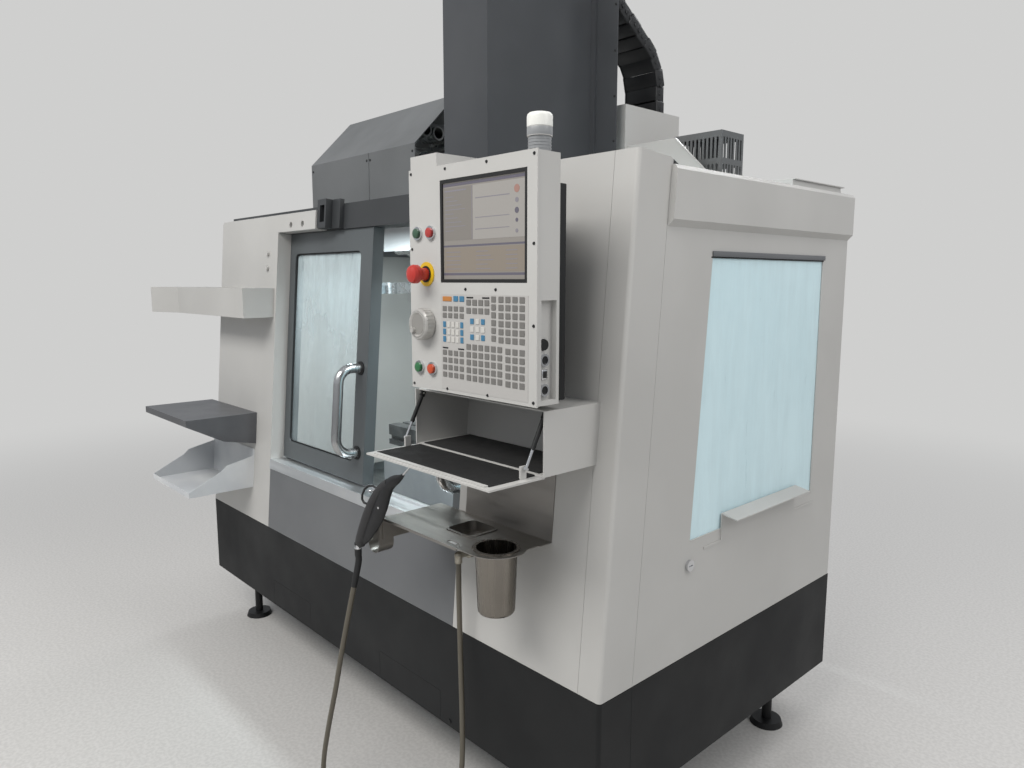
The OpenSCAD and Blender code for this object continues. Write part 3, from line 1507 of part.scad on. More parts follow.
// Dark middle shelf with its gussets, and the light bin under it
module left_shelves() {
  t = 2.5;
  x0 = mid_x1 - mid_w;
  color("#55585a") difference() {
    union() {
      box([x0, -mid_out, mid_z - t], [mid_x1, 120, mid_z]);
      box([x0, -mid_out, mid_z - 24], [mid_x1, -mid_out + t, mid_z]);
      for (x = [x0, mid_x1 - t])
        yz_plate(x, x + t, [[-mid_out, mid_z], [120, mid_z], [120, mid_z - 140],
          [-100, mid_z - 96], [-mid_out, mid_z - 24]]);
    }
    behind_face();
  }
  color("#e2e3e1") difference() {
    union() {
      box([bin_x1 - bin_w, -mid_out, bin_z], [bin_x1, 120, bin_z + t]);
      box([bin_x1 - bin_w, -mid_out, bin_z], [bin_x1, -mid_out + t, bin_z + 20]);
      for (x = [bin_x1 - bin_w, bin_x1 - t])
        yz_plate(x, x + t, [[-mid_out, bin_z], [120, bin_z], [120, bin_z + 146],
          [-90, bin_z + 100], [-110, bin_z + 82], [-mid_out, bin_z + 20]]);
      on_face() translate([bin_x1 - bin_w, -t, face_h(bin_z)]) cube([bin_w, t, 150]);
    }
    behind_face();
  }
}

translate(centre) {
  base_casting();
  leveling_feet();
  column_casting();
  linear_rails();
  chip_pan();
  front_skirt();
  side_skirts();
  front_lower_panel();
  front_sill();
  left_front_panel();
  right_front_panel();
  right_corner_panel();
  right_side_panel();
  left_side_panel();
  rear_panel();
  door_header();
  side_window();
  side_lock();
  left_door_frame();
  left_door_glass();
  left_door_handle();
  right_door_frame();
  right_door_glass();
  right_door_handle();
  saddle();
  table();
  head_casting();
  head_cover();
  spindle();
  carousel();
  swap_arm();
  changer_frame();
  changer_cover();
  cable_carrier();
  control_cabinet();
  vent_cage();
  pendant_bracket();
  pendant_body();
  pendant_plate();
  screen();
  keypad();
  beacon();
  e_stop();
  jog_wheel();
  power_on_button();
  power_off_button();
  cycle_start_button();
  feed_hold_button();
  storage_box();
  storage_door();
  strut_tubes();
  strut_rods();
  accessory_shelf();
  chip_cup();
  air_gun();
  air_hose();
  hose_fitting();
  upper_tray();
  left_shelves();
  coolant_tank();
}
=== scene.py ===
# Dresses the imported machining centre: finishes for every solid, and the small
# pieces that a maker adds last, such as seals, key caps, screws and the hose.
import math

import bmesh
import bpy
from mathutils import Matrix, Vector


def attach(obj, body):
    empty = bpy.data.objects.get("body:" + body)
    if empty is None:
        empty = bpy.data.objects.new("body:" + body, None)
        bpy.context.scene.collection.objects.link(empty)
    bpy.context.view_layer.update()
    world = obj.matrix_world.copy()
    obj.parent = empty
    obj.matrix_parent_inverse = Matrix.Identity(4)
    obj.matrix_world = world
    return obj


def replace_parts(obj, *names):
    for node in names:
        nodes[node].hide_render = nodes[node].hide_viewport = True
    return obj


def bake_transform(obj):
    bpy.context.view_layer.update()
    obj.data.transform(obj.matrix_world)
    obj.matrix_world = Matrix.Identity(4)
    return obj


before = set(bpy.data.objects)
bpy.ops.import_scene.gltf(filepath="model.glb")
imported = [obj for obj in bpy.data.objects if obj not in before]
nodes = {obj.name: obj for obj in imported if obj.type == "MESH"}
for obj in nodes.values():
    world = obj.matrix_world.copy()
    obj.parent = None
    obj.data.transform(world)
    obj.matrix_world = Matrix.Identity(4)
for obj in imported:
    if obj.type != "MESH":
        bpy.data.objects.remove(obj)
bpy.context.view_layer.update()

# Places of the drawing that several pieces share, in millimetres

# The front face leans back from the seam above the skirt
LEAN = math.radians(4.7)
SEAM_Z = 520.0
# From the drawing's place to the row frame
SHIFT = (137.5, -607.0)
# Right side of the machine, the pendant's edges and its front plate
HALF_WIDTH = 1085.0
PENDANT_LEFT = 619.0
PENDANT_RIGHT = 1041.0
PENDANT_FOOT = 1198.0
PENDANT_TOP = 1698.0
PLATE_Y = -155.0
# Display opening in the plate, from its lower left corner
SCREEN_X = HALF_WIDTH - 350
SCREEN_Z = PENDANT_FOOT + 246
SCREEN_WIDTH = 278.0
SCREEN_HEIGHT = 222.0
# Left door, along the leaning face; the right door is its mirror image and rests open by its slide
DOOR_SLIDE = 470.0
DOOR_EDGES = ((-600.6, 268.4), (-1.4, 1105.6))
DOOR_WINDOW = ((-525.0, 334.0), (-71.0, 1033.0))
DOOR_FRONT = 53.0


def at(x, y, z):
    """A point of the drawing, in millimetres, as a place in the row frame."""
    return Vector(((x + SHIFT[0]) / 1000, (y + SHIFT[1]) / 1000, z / 1000))


def moved(x=0.0, y=0.0, z=0.0):
    """A shift in millimetres."""
    return Matrix.Translation((x / 1000, y / 1000, z / 1000))


# The drawing's own place, and the same on the leaning front face
DRAWING = Matrix.Translation(at(0, 0, 0))
FRONT_FACE = Matrix.Translation(at(0, 0, SEAM_Z)) @ Matrix.Rotation(-LEAN, 4, "X")
TOWARDS_FRONT = Matrix.Rotation(math.pi / 2, 4, "X")
TOWARDS_RIGHT = Matrix.Rotation(math.pi / 2, 4, "Y")

# Camera, solved from the straight edges that the photograph shows
LENS = 26.37
CAMERA_PLACE = at(2085.2, -1185.8, 1450.0)
CAMERA_TILT = math.radians(82.1)
CAMERA_TURN = math.radians(47.27)

camera_data = bpy.data.cameras.new("photo_camera")
camera_data.lens = LENS
camera_data.sensor_width = 36.0
camera_data.clip_end = 60.0
camera = bpy.data.objects.new("photo_camera", camera_data)
camera.location = CAMERA_PLACE
camera.rotation_euler = (CAMERA_TILT, 0.0, CAMERA_TURN)
bpy.context.scene.collection.objects.link(camera)
bpy.context.scene.camera = camera

# Light: three soft ceiling lamps and the two work lights inside
WARM_WHITE = (1.0, 0.98, 0.95)
NEUTRAL_WHITE = (1.0, 0.98, 0.96)
COOL_WHITE = (0.97, 0.98, 1.0)
WORK_LIGHT = (0.86, 0.97, 1.0)
WORK_LAMP_SIZE = (0.56, 0.1)


def soft_lamp(name, place, aim, size, power, tint):
    """A rectangular lamp, its place, aim and size in metres."""
    data = bpy.data.lights.new(name, "AREA")
    data.shape = "RECTANGLE"
    data.size = size[0]
    data.size_y = size[1]
    data.energy = power
    data.color = tint
    lamp = bpy.data.objects.new(name, data)
    lamp.location = place
    lamp.rotation_euler = (Vector(aim) - Vector(place)).to_track_quat("-Z", "Y").to_euler()
    bpy.context.scene.collection.objects.link(lamp)


soft_lamp("ceiling_front", (0.5, -3.4, 4.1), (0.1, -0.4, 1.0), (3.8, 1.4), 152.0, WARM_WHITE)
soft_lamp("ceiling_right", (3.6, 0.4, 4.0), (0.8, 0.0, 1.0), (1.2, 3.4), 63.0, NEUTRAL_WHITE)
soft_lamp("ceiling_rear", (-0.6, 3.4, 4.2), (0.0, 0.2, 1.2), (3.0, 1.2), 75.0, COOL_WHITE)
# Both point straight back, so that no end of them meets a door
soft_lamp("inner_light", at(-300, 310, 1560), at(-300, 700, 700), WORK_LAMP_SIZE, 9.0, WORK_LIGHT)
soft_lamp("inner_light_right", at(560, 310, 1560), at(560, 760, 800), WORK_LAMP_SIZE, 9.0, WORK_LIGHT)

# Materials


def linear(code):
    """An sRGB hex value as linear red, green, blue and full alpha."""
    parts = [int(code[i : i + 2], 16) / 255 for i in (1, 3, 5)]
    return tuple(c / 12.92 if c <= 0.04045 else ((c + 0.055) / 1.055) ** 2.4 for c in parts) + (1.0,)


def add(tree, kind, links=None, **settings):
    """Adds a node. Settings that name an input set its value, the others set the node."""
    made = tree.nodes.new(kind)
    for key, value in settings.items():
        if hasattr(made, key):
            setattr(made, key, value)
        else:
            made.inputs[key.replace("__", " ")].default_value = value
    for key, source in (links or {}).items():
        tree.links.new(source, made.inputs[key])
    return made


def finish(name, colour, roughness, metallic=0.0):
    """A material with only its shader; the calls that follow add what the surface shows."""
    material = bpy.data.materials.new(name)
    material.use_nodes = True
    tree = material.node_tree
    shader = tree.nodes["Principled BSDF"]
    shader.inputs["Base Color"].default_value = linear(colour)
    shader.inputs["Roughness"].default_value = roughness
    shader.inputs["Metallic"].default_value = metallic
    shader.inputs["IOR"].default_value = 1.5
    return material, tree, shader


def grain(tree, per_metre, stretch=(1, 1, 1), detail=2.0):
    """A pattern of a real size that stays on the piece, so many waves to the metre."""
    place = add(tree, "ShaderNodeTexCoord")
    turn = add(tree, "ShaderNodeMapping", {"Vector": place.outputs["Object"]}, Scale=stretch)
    noise = add(tree, "ShaderNodeTexNoise", {"Vector": turn.outputs[0]}, Scale=per_metre, Detail=detail)
    return noise.outputs["Fac"]


def blend(tree, factor, colours):
    """One hex colour below the middle of a pattern and the other above it, with a soft passage."""
    ramp = add(tree, "ShaderNodeValToRGB", {"Fac": factor})
    for end, position, colour in zip(ramp.color_ramp.elements, (0.38, 0.62), colours):
        end.position = position
        end.color = linear(colour)
    return ramp.outputs["Color"]


def tone(tree, shader, colours, per_metre, detail=3.0):
    """Varies the colour slowly between two hex values."""
    tree.links.new(blend(tree, grain(tree, per_metre, detail=detail), colours), shader.inputs["Base Color"])


def sheen_patches(tree, shader, low, high, per_metre, stretch=(1, 1, 1)):
    """Varies the roughness between two values, as wiped and handled paint does."""
    spread = add(tree, "ShaderNodeMapRange", {"Value": grain(tree, per_metre, stretch, 4.0)},
                 From__Min=0.35, From__Max=0.65, To__Min=low, To__Max=high)
    tree.links.new(spread.outputs["Result"], shader.inputs["Roughness"])


def bumps(tree, shader, per_metre, depth, strength, stretch=(1, 1, 1)):
    """Raises the surface by a fine pattern, its depth in metres."""
    raised = add(tree, "ShaderNodeBump", {"Height": grain(tree, per_metre, stretch)},
                 Distance=depth, Strength=strength)
    tree.links.new(raised.outputs["Normal"], shader.inputs["Normal"])


def powder_coat(name, colours, roughness, orange_peel=0.12, shine=0.5):
    """Powder coated sheet: fine orange peel and slow changes of tone and sheen."""
    material, tree, shader = finish(name, colours[0], roughness)
    tone(tree, shader, colours, 2.2, detail=5.0)
    sheen_patches(tree, shader, roughness - 0.06, roughness + 0.08, 4.0)
    shader.inputs["Specular IOR Level"].default_value = shine
    # Orange peel of about 3 mm, coarser than the real one so that it shows
    bumps(tree, shader, 330.0, 0.0004, orange_peel)
    return material


def brushed(name, colours, roughness, along, lines=900.0, strength=0.10):
    """Brushed or rolled metal with fine lines along one axis, so many lines to the metre."""
    material, tree, shader = finish(name, colours[0], roughness, 1.0)
    tone(tree, shader, colours, 3.0, detail=4.0)
    stretch = [1.0, 1.0, 1.0]
    stretch[along] = 0.02
    sheen_patches(tree, shader, roughness - 0.07, roughness + 0.1, 60.0, stretch)
    bumps(tree, shader, lines, 0.0002, strength, stretch)
    return material


def plastic(name, colour, roughness, texture=0.0, per_metre=1200.0):
    """Moulded plastic or rubber, smooth or with a moulded texture."""
    material, tree, shader = finish(name, colour, roughness)
    sheen_patches(tree, shader, max(0.05, roughness - 0.05), roughness + 0.07, 30.0)
    if texture:
        bumps(tree, shader, per_metre, 0.0003, texture)
    return material


def lit(name, colour, strength):
    """A part of the display's picture: a dim glow of its own under the glass."""
    material, _, shader = finish(name, colour, 0.25)
    shader.inputs["Emission Color"].default_value = linear(colour)
    shader.inputs["Emission Strength"].default_value = strength
    return material


# Light panels: textured polyester powder coat, warm grey with a faint soil
light_coat = powder_coat("powder_coat_light", ("#b3b2af", "#bab9b6"), 0.42)
# Pendant: the same maker's off white coat, smoother and cleaner
pendant_coat = powder_coat("powder_coat_pendant", ("#b6b5b2", "#bcbbb8"), 0.4, 0.06)
# Skirts: textured charcoal coat that hides splashes and throws little light back
charcoal_coat = powder_coat("powder_coat_charcoal", ("#18191a", "#1f2021"), 0.55, 0.2, 0.24)
# Lower panel: a tone lighter than the skirts, satin
slate_coat = powder_coat("powder_coat_slate", ("#5f6164", "#67696b"), 0.42)
# Doors and header: smoother dark grey coats
door_coat = powder_coat("powder_coat_door", ("#4b4f51", "#53585a"), 0.34, 0.08)
header_coat = powder_coat("powder_coat_header", ("#2c2e30", "#353739"), 0.4)
# Head cover: semi gloss dark grey with soft reflections of the ceiling
cover_coat = powder_coat("powder_coat_cover", ("#3c3e41", "#45474a"), 0.34, 0.08)
# Tool changer's cover and vent cage: mid grey satin
changer_coat = powder_coat("powder_coat_changer", ("#5d5f60", "#67696a"), 0.4, 0.1)
# Brackets, feet, and the plate that stands as painted shade behind the pendant: flat black
black_coat = powder_coat("powder_coat_black", ("#141415", "#1b1c1d"), 0.5, 0.15, 0.3)
# Coolant tank: plain dark grey, duller than the panels
tank_coat = powder_coat("powder_coat_tank", ("#3f4244", "#494c4e"), 0.5)
# Brushed stainless steel, with lines along its rolling direction
sill_steel = brushed("stainless_sill", ("#d2d5d7", "#e2e4e5"), 0.42, 0)
shelf_steel = brushed("stainless_shelf", ("#8d8984", "#979490"), 0.37, 0, 900.0, 0.012)
# The cup's dark brownish tone is partly painted reflection of its dark surroundings, over the steel's own
# grey
cup_steel = brushed("stainless_cup", ("#77726b", "#8a857e"), 0.24, 2, 500.0, 0.05)
handle_steel = brushed("stainless_handle", ("#b4b5b6", "#c6c7c8"), 0.22, 2, 700.0)
pan_steel = brushed("stainless_pan", ("#8f9496", "#a3a8aa"), 0.36, 0)
# Ground tool steel, with the fine lines of the wheel
ground_steel = brushed("ground_steel", ("#9a9c9e", "#acaeb0"), 0.28, 0, 1500.0)
# Turned aluminium of the tool carousel
turned_aluminium = brushed("turned_aluminium", ("#b3b4b3", "#c5c6c5"), 0.3, 1, 1100.0)
# Chromed brass, bright with a few dull patches
chrome, chrome_tree, chrome_shader = finish("chromed_brass", "#d2d3d5", 0.12, 1.0)
sheen_patches(chrome_tree, chrome_shader, 0.08, 0.2, 60.0)
# Jog wheel: satin anodised aluminium, nearly white
wheel_finish, wheel_tree, wheel_shader = finish("satin_anodised_wheel", "#bdbbb7", 0.34, 0.35)
tone(wheel_tree, wheel_shader, ("#b5b3af", "#c3c1bd"), 60.0)
# Painted cast iron, with the coarse skin of a sand casting
cast_iron, cast_tree, cast_shader = finish("cast_iron_painted", "#8a8e8f", 0.5)
tone(cast_tree, cast_shader, ("#83878a", "#93979a"), 5.0)
bumps(cast_tree, cast_shader, 160.0, 0.0012, 0.3)
# Bare cast iron of the table, ground along its length
table_iron, table_tree, table_shader = finish("ground_cast_iron", "#7d7f80", 0.34, 0.8)
tone(table_tree, table_shader, ("#6f7172", "#8b8d8e"), 12.0, detail=6.0)
bumps(table_tree, table_shader, 700.0, 0.0003, 0.15, (0.05, 1.0, 1.0))
# Nickel plated brass fitting, dulled by handling
brass, brass_tree, brass_shader = finish("nickel_plated_brass", "#9c978c", 0.3, 1.0)
tone(brass_tree, brass_shader, ("#8b867b", "#aaa59a"), 90.0)
# Moulded nylon: a fine grain, coarser and duller on the grip, smooth and near black on the ports' inserts;
# that near black is also painted shade in the screws' hex sockets
black_plastic = plastic("nylon_black", "#17181a", 0.5, 0.25)
grip_plastic = plastic("nylon_grip", "#2c2c2d", 0.6, 0.6, 700.0)
socket_black_and_recess_shade = plastic("socket_black_and_recess_shade", "#0b0c0d", 0.4)
# Display glass over a dark panel, and the printed polyester of the keys
screen_plastic = plastic("screen_glass_dark", "#15181b", 0.16)
key_sheet = plastic("membrane_sheet", "#b2b0ad", 0.46)
key_grey = plastic("key_caps_grey", "#72706d", 0.42)
key_blue = plastic("key_caps_blue", "#3f7596", 0.46)
key_orange = plastic("key_caps_orange", "#b4763a", 0.46)
key_white = plastic("key_caps_white", "#c4c2bd", 0.46)
wheel_recess = plastic("wheel_recess_grey", "#8b8985", 0.45)
# Beacon: milky polycarbonate on a grey base
beacon_plastic = plastic("beacon_white", "#e4e4df", 0.3)
beacon_base = plastic("beacon_grey", "#8d8f91", 0.42)
# Glossy moulded buttons
stop_red = plastic("urea_red", "#b4332b", 0.3)
ring_yellow = plastic("urea_yellow", "#d9b21f", 0.4)
button_green = plastic("button_green", "#2f6b42", 0.3)
button_dark_green = plastic("button_dark_green", "#3a5644", 0.3)
button_red = plastic("button_red", "#a83a36", 0.3)
button_orange = plastic("button_orange", "#bd4c2c", 0.3)
# Rubbers: dull mats and seals, a satin hose and its soft sleeve
mat_rubber = plastic("ribbed_rubber", "#1b1b1b", 0.75, 0.5, 400.0)
seal_rubber = plastic("seal_rubber", "#101112", 0.6)
hose_rubber = plastic("polyurethane_hose", "#5a554a", 0.34)
relief_rubber = plastic("strain_relief", "#18191a", 0.6)
# Frosted lens of the work lights, lit from behind
lamp_lens, _, lens_shader = finish("work_light_lens", "#eef6f8", 0.35)
lens_shader.inputs["Emission Color"].default_value = linear("#e9f7ff")
lens_shader.inputs["Emission Strength"].default_value = 1.4
# The display's picture behind its glass: dim warm greys
picture_back = lit("display_field", "#7b7772", 0.30)
picture_pale = lit("display_pale", "#8a8783", 0.32)
picture_left = lit("display_left", "#736f6a", 0.28)
picture_table = lit("display_table", "#7a7268", 0.28)
picture_bar = lit("display_bar", "#5a5761", 0.24)
picture_line = lit("display_line", "#77747a", 0.26)
picture_mark = lit("display_mark", "#8f6f66", 0.26)


def coated_glass(name, colour, film_alpha, rough, smear, clear_z=None):
    """Laminated safety glass with a film of dried coolant that thins in streaks."""
    material, tree, shader = finish(name, colour, rough)
    place = add(tree, "ShaderNodeTexCoord")
    # Streaks run down, so the pattern is drawn out along Z
    turn = add(tree, "ShaderNodeMapping", {"Vector": place.outputs["Object"]}, Scale=(1.0, 1.0, 0.16))
    runs = add(tree, "ShaderNodeTexNoise", {"Vector": turn.outputs[0]}, Scale=26.0, Detail=6.0, Roughness=0.6)
    cloud = add(tree, "ShaderNodeTexNoise", {"Vector": place.outputs["Object"]}, Scale=3.2, Detail=3.0)
    mixed = add(tree, "ShaderNodeMath", {0: runs.outputs["Fac"], 1: cloud.outputs["Fac"]}, operation="ADD")
    film = add(tree, "ShaderNodeMapRange", {"Value": mixed.outputs[0]}, From__Min=0.78, From__Max=1.22,
               To__Min=film_alpha[0], To__Max=film_alpha[1])
    cover = film.outputs["Result"]
    if clear_z:
        # The film thins towards the foot of the pane, between two heights in metres, and carries beads
        height = add(tree, "ShaderNodeSeparateXYZ", {"Vector": place.outputs["Object"]})
        fade = add(tree, "ShaderNodeMapRange", {"Value": height.outputs["Z"]}, From__Min=clear_z[0],
                   From__Max=clear_z[1], To__Min=0.22, To__Max=1.0)
        drops = add(tree, "ShaderNodeTexVoronoi", {"Vector": turn.outputs[0]}, Scale=130.0)
        beads = add(tree, "ShaderNodeMapRange", {"Value": drops.outputs["Distance"]}, From__Min=0.1,
                    From__Max=0.3, To__Min=1.0, To__Max=0.86)
        for layer in (fade, beads):
            cover = add(tree, "ShaderNodeMath", {0: cover, 1: layer.outputs["Result"]},
                        operation="MULTIPLY").outputs[0]
    tree.links.new(cover, shader.inputs["Alpha"])
    dull = add(tree, "ShaderNodeMapRange", {"Value": runs.outputs["Fac"]},
               To__Min=rough, To__Max=rough + smear)
    tree.links.new(dull.outputs["Result"], shader.inputs["Roughness"])
    return material


door_glass = coated_glass("door_safety_glass", "#c9d8dc", (0.42, 0.8), 0.08, 0.5, (1.02, 1.46))
# The side pane's film is nearly opaque and pale cyan: dried coolant, and painted light of the work lights
# inside seen through the smear
side_glass = coated_glass("side_safety_glass", "#d2eaf0", (0.82, 0.96), 0.14, 0.4)


def two_tone_coat(name, upper, lower, seam_z):
    """Two powder coats on one welded piece, parted at a height in metres."""
    material, tree, shader = finish(name, upper[1], 0.42)
    place = add(tree, "ShaderNodeTexCoord")
    height = add(tree, "ShaderNodeSeparateXYZ", {"Vector": place.outputs["Object"]})
    above = add(tree, "ShaderNodeMath", {0: height.outputs["Z"]}, operation="GREATER_THAN")
    above.inputs[1].default_value = seam_z
    soil = grain(tree, 5.0, detail=5.0)
    # Sockets 6 and 7 are the mix node's two colours, and output 2 is its mixed colour
    colours = {"Factor": above.outputs[0], 6: blend(tree, soil, lower), 7: blend(tree, soil, upper)}
    choice = add(tree, "ShaderNodeMix", colours, data_type="RGBA")
    tree.links.new(choice.outputs[2], shader.inputs["Base Color"])
    sheen_patches(tree, shader, 0.34, 0.5, 5.0)
    return material


# Left shelves: slate coat on the shelf, light coat on the bin below it
shelf_coat = two_tone_coat("powder_coat_shelf_and_bin", ("#4b4c4f", "#5a5b5e"), ("#c2c5c8", "#d2d4d5"), 0.797)

# A finish for every solid, also for those that a finer piece below stands in for
dress = {
    "base_casting": cast_iron,
    "leveling_feet": black_coat,
    "column_casting": light_coat,
    "linear_rails": ground_steel,
    "chip_pan": pan_steel,
    "front_skirt": charcoal_coat,
    "side_skirts": charcoal_coat,
    "front_lower_panel": slate_coat,
    "front_sill": sill_steel,
    "left_front_panel": light_coat,
    "right_front_panel": light_coat,
    "right_corner_panel": light_coat,
    "right_side_panel": light_coat,
    "left_side_panel": light_coat,
    "rear_panel": light_coat,
    "door_header": header_coat,
    "side_window": side_glass,
    "side_lock": chrome,
    "left_door_frame": door_coat,
    "left_door_glass": door_glass,
    "left_door_handle": handle_steel,
    "right_door_frame": door_coat,
    "right_door_glass": door_glass,
    "right_door_handle": handle_steel,
    "saddle": cast_iron,
    "table": table_iron,
    "head_casting": cast_iron,
    "head_cover": cover_coat,
    "spindle": ground_steel,
    "carousel": turned_aluminium,
    "swap_arm": ground_steel,
    "changer_frame": cast_iron,
    "changer_cover": changer_coat,
    "cable_carrier": black_plastic,
    "control_cabinet": light_coat,
    "vent_cage": changer_coat,
    "pendant_bracket": black_coat,
    "pendant_body": pendant_coat,
    "pendant_plate": pendant_coat,
    "screen": screen_plastic,
    "keypad": key_sheet,
    "beacon": beacon_plastic,
    "e_stop": stop_red,
    "jog_wheel": wheel_finish,
    "power_on_button": button_dark_green,
    "power_off_button": button_red,
    "cycle_start_button": button_green,
    "feed_hold_button": button_orange,
    "storage_box": pendant_coat,
    "storage_door": pendant_coat,
    "strut_tubes": black_coat,
    "strut_rods": chrome,
    "accessory_shelf": shelf_steel,
    "chip_cup": cup_steel,
    "air_gun": black_plastic,
    "air_hose": hose_rubber,
    "hose_fitting": brass,
    "upper_tray": light_coat,
    "left_shelves": shelf_coat,
    "coolant_tank": tank_coat,
}
for node_name, material in dress.items():
    for material_slot in nodes[node_name].material_slots:
        material_slot.material = material

# Building pieces


def piece(name, bm, materials, body, smooth=True):
    """Turns a bmesh into an object that sits at the origin and rides on a body."""
    bmesh.ops.recalc_face_normals(bm, faces=bm.faces[:])
    mesh = bpy.data.meshes.new(name)
    for face in bm.faces:
        face.smooth = smooth
    bm.to_mesh(mesh)
    bm.free()
    if smooth:
        mesh.set_sharp_from_angle(angle=math.radians(35))
    for material in materials:
        mesh.materials.append(material)
    made = bpy.data.objects.new(name, mesh)
    bpy.context.scene.collection.objects.link(made)
    if body:
        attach(made, body)
    return made


def paint(faces, material):
    """Gives faces the number of a material in the piece's list."""
    for face in faces:
        face.material_index = material


def block(bm, low, high, radius=0.0, place=Matrix(), material=0, segments=2):
    """A bevelled block between two corners, in millimetres of its own place."""
    low, high = Vector(low) / 1000, Vector(high) / 1000
    middle, size = (low + high) / 2, high - low
    made = bmesh.ops.create_cube(bm, size=1.0)["verts"]
    bmesh.ops.transform(bm, matrix=Matrix.Translation(middle) @ Matrix.Diagonal((*size, 1.0)), verts=made)
    if radius:
        flats = {f for v in made for f in v.link_faces}
        edges = {e for v in made for e in v.link_edges}
        result = bmesh.ops.bevel(bm, geom=list(edges), offset=radius / 1000, offset_type="OFFSET",
                                 segments=segments, profile=0.5, affect="EDGES", material=-1)
        faces = set(result["faces"]) | {f for f in flats if f.is_valid}
        made = list({v for f in faces for v in f.verts})
    bmesh.ops.transform(bm, matrix=place, verts=made)
    paint({f for v in made for f in v.link_faces}, material)


def drum(bm, radii, height, place, segments=24, material=0, bevel=0.0):
    """A round boss along its own Z, with its lower and upper radius, in millimetres."""
    made = bmesh.ops.create_cone(
        bm, cap_ends=True, cap_tris=False, segments=segments,
        radius1=radii[0] / 1000, radius2=radii[1] / 1000, depth=height / 1000,
        matrix=moved(z=height / 2),
    )["verts"]
    if bevel:
        edges = {e for v in made for e in v.link_edges}
        rims = [e for e in edges if any(len(f.verts) > 4 for f in e.link_faces)]
        result = bmesh.ops.bevel(bm, geom=rims, offset=bevel / 1000, offset_type="OFFSET", segments=2,
                                 profile=0.5, affect="EDGES", material=-1)
        made = list({v for v in made if v.is_valid} | set(result["verts"]))
    bmesh.ops.transform(bm, matrix=place, verts=made)
    paint({f for v in made for f in v.link_faces}, material)


def turned(bm, section, place=Matrix(), material=0, segments=40, closed=True):
    """Spins a section of radius and height, in millimetres, about its own Z."""
    before = set(bm.verts)
    spots = [bm.verts.new((radius / 1000, 0, height / 1000)) for radius, height in section]
    pairs = list(zip(spots, spots[1:]))
    if closed:
        pairs.append((spots[-1], spots[0]))
    edges = [bm.edges.new(pair) for pair in pairs]
    bmesh.ops.spin(bm, geom=spots + edges, cent=(0, 0, 0), axis=(0, 0, 1), angle=2 * math.pi,
                   steps=segments, use_merge=True, use_duplicate=False)
    bmesh.ops.remove_doubles(bm, verts=[v for v in bm.verts if v not in before], dist=1e-6)
    made = [v for v in bm.verts if v not in before]
    bmesh.ops.transform(bm, matrix=place, verts=made)
    paint({f for v in made for f in v.link_faces}, material)


def ring(bm, inner, outer, thick, place, material=0, segments=40):
    """A flat ring that stands on its own place, in millimetres."""
    turned(bm, ((inner, 0), (outer, 0), (outer, thick), (inner, thick)), place, material, segments)


def rounded_loop(bm, low, high, radius, y, place, segments=6):
    """The corners of a rounded rectangle in X and Z of its place, as a loop of vertices."""
    left, right = low[0] + radius, high[0] - radius
    foot, top = low[1] + radius, high[1] - radius
    loop = []
    for quarter, (x, z) in enumerate(((right, top), (left, top), (left, foot), (right, foot))):
        for i in range(segments + 1):
            turn = math.pi / 2 * (quarter + i / segments)
            spot = Vector((x + radius * math.cos(turn), y, z + radius * math.sin(turn)))
            loop.append(bm.verts.new(place @ (spot / 1000)))
    return loop


def close_ring(bm, loops):
    """Walls between each loop and the next, and back to the first."""
    for one, two in zip(loops, loops[1:] + loops[:1]):
        for i in range(len(one)):
            bm.faces.new((one[i], one[i - 1], two[i - 1], two[i]))


def rounded_frame(bm, low, high, corner, band, depth, place):
    """A flat frame with rounded corners, in X and Z of its place, its depth towards -Y."""
    loops = []
    for inset, y in ((0, 0), (0, -depth), (band, -depth), (band, 0)):
        loops.append(rounded_loop(bm, (low[0] + inset, low[1] + inset), (high[0] - inset, high[1] - inset),
                                  max(corner - inset, 1.0), y, place))
    close_ring(bm, loops)


def loft(bm, stations, place=Matrix(), material=0, segments=18):
    """Skins sections along a line. A station is a point, its radius across and its radius in depth."""
    before = set(bm.faces)
    rings = []
    for i, (spot, wide, deep) in enumerate(stations):
        along = stations[min(i + 1, len(stations) - 1)][0] - stations[max(i - 1, 0)][0]
        turn = along.to_track_quat("Z", "Y").to_matrix().to_4x4()
        size = Matrix.Diagonal((deep / 1000, wide / 1000, 1.0, 1.0))
        made = bmesh.ops.create_circle(
            bm, cap_ends=i in (0, len(stations) - 1), segments=segments, radius=1.0,
            matrix=place @ Matrix.Translation(spot / 1000) @ turn @ size,
        )["verts"]
        rings.append({e for v in made for e in v.link_edges})
    for one, two in zip(rings, rings[1:]):
        bmesh.ops.bridge_loops(bm, edges=list(one | two))
    paint(set(bm.faces) - before, material)


def button_screws(name, spots, turn, body, radius):
    """Socket screws with domed heads, all on one body."""
    top, tall, socket = radius * 0.72, radius * 0.55, radius * 0.42
    bm = bmesh.new()
    for spot in spots:
        where = Matrix.Translation(spot) @ turn
        drum(bm, (radius, top), tall, where, 14)
        # The socket is a flat near black hexagon on the head: painted shade of its recess
        drum(bm, (socket, socket), 0.12, where @ moved(z=tall), 6, 1)
    piece(name, bm, [black_plastic, socket_black_and_recess_shade], body)


# Pendant's front plate: screws round its edge, beside the screen and above the keys
SCREW_INSET = 9
plate_columns = (PENDANT_LEFT + SCREW_INSET, 755, 893, PENDANT_RIGHT - SCREW_INSET)
plate_rows = (PENDANT_FOOT + SCREW_INSET, PENDANT_TOP - SCREW_INSET)
plate_screws = [at(x, PLATE_Y, z) for x in plate_columns for z in plate_rows]
plate_screws += [at(x, PLATE_Y, z) for x in (plate_columns[0], plate_columns[-1]) for z in (1360, 1520)]
plate_screws += [at(x, PLATE_Y, 1430) for x in (822, 920)]
button_screws("pendant_screws", plate_screws, TOWARDS_FRONT, "pendant", 3.6)

# Keys on their sheet, coloured by the number of a material in the piece's list
GREY, BLUE, ORANGE, WHITE, BAR, SHEET = range(6)
keys = bmesh.new()


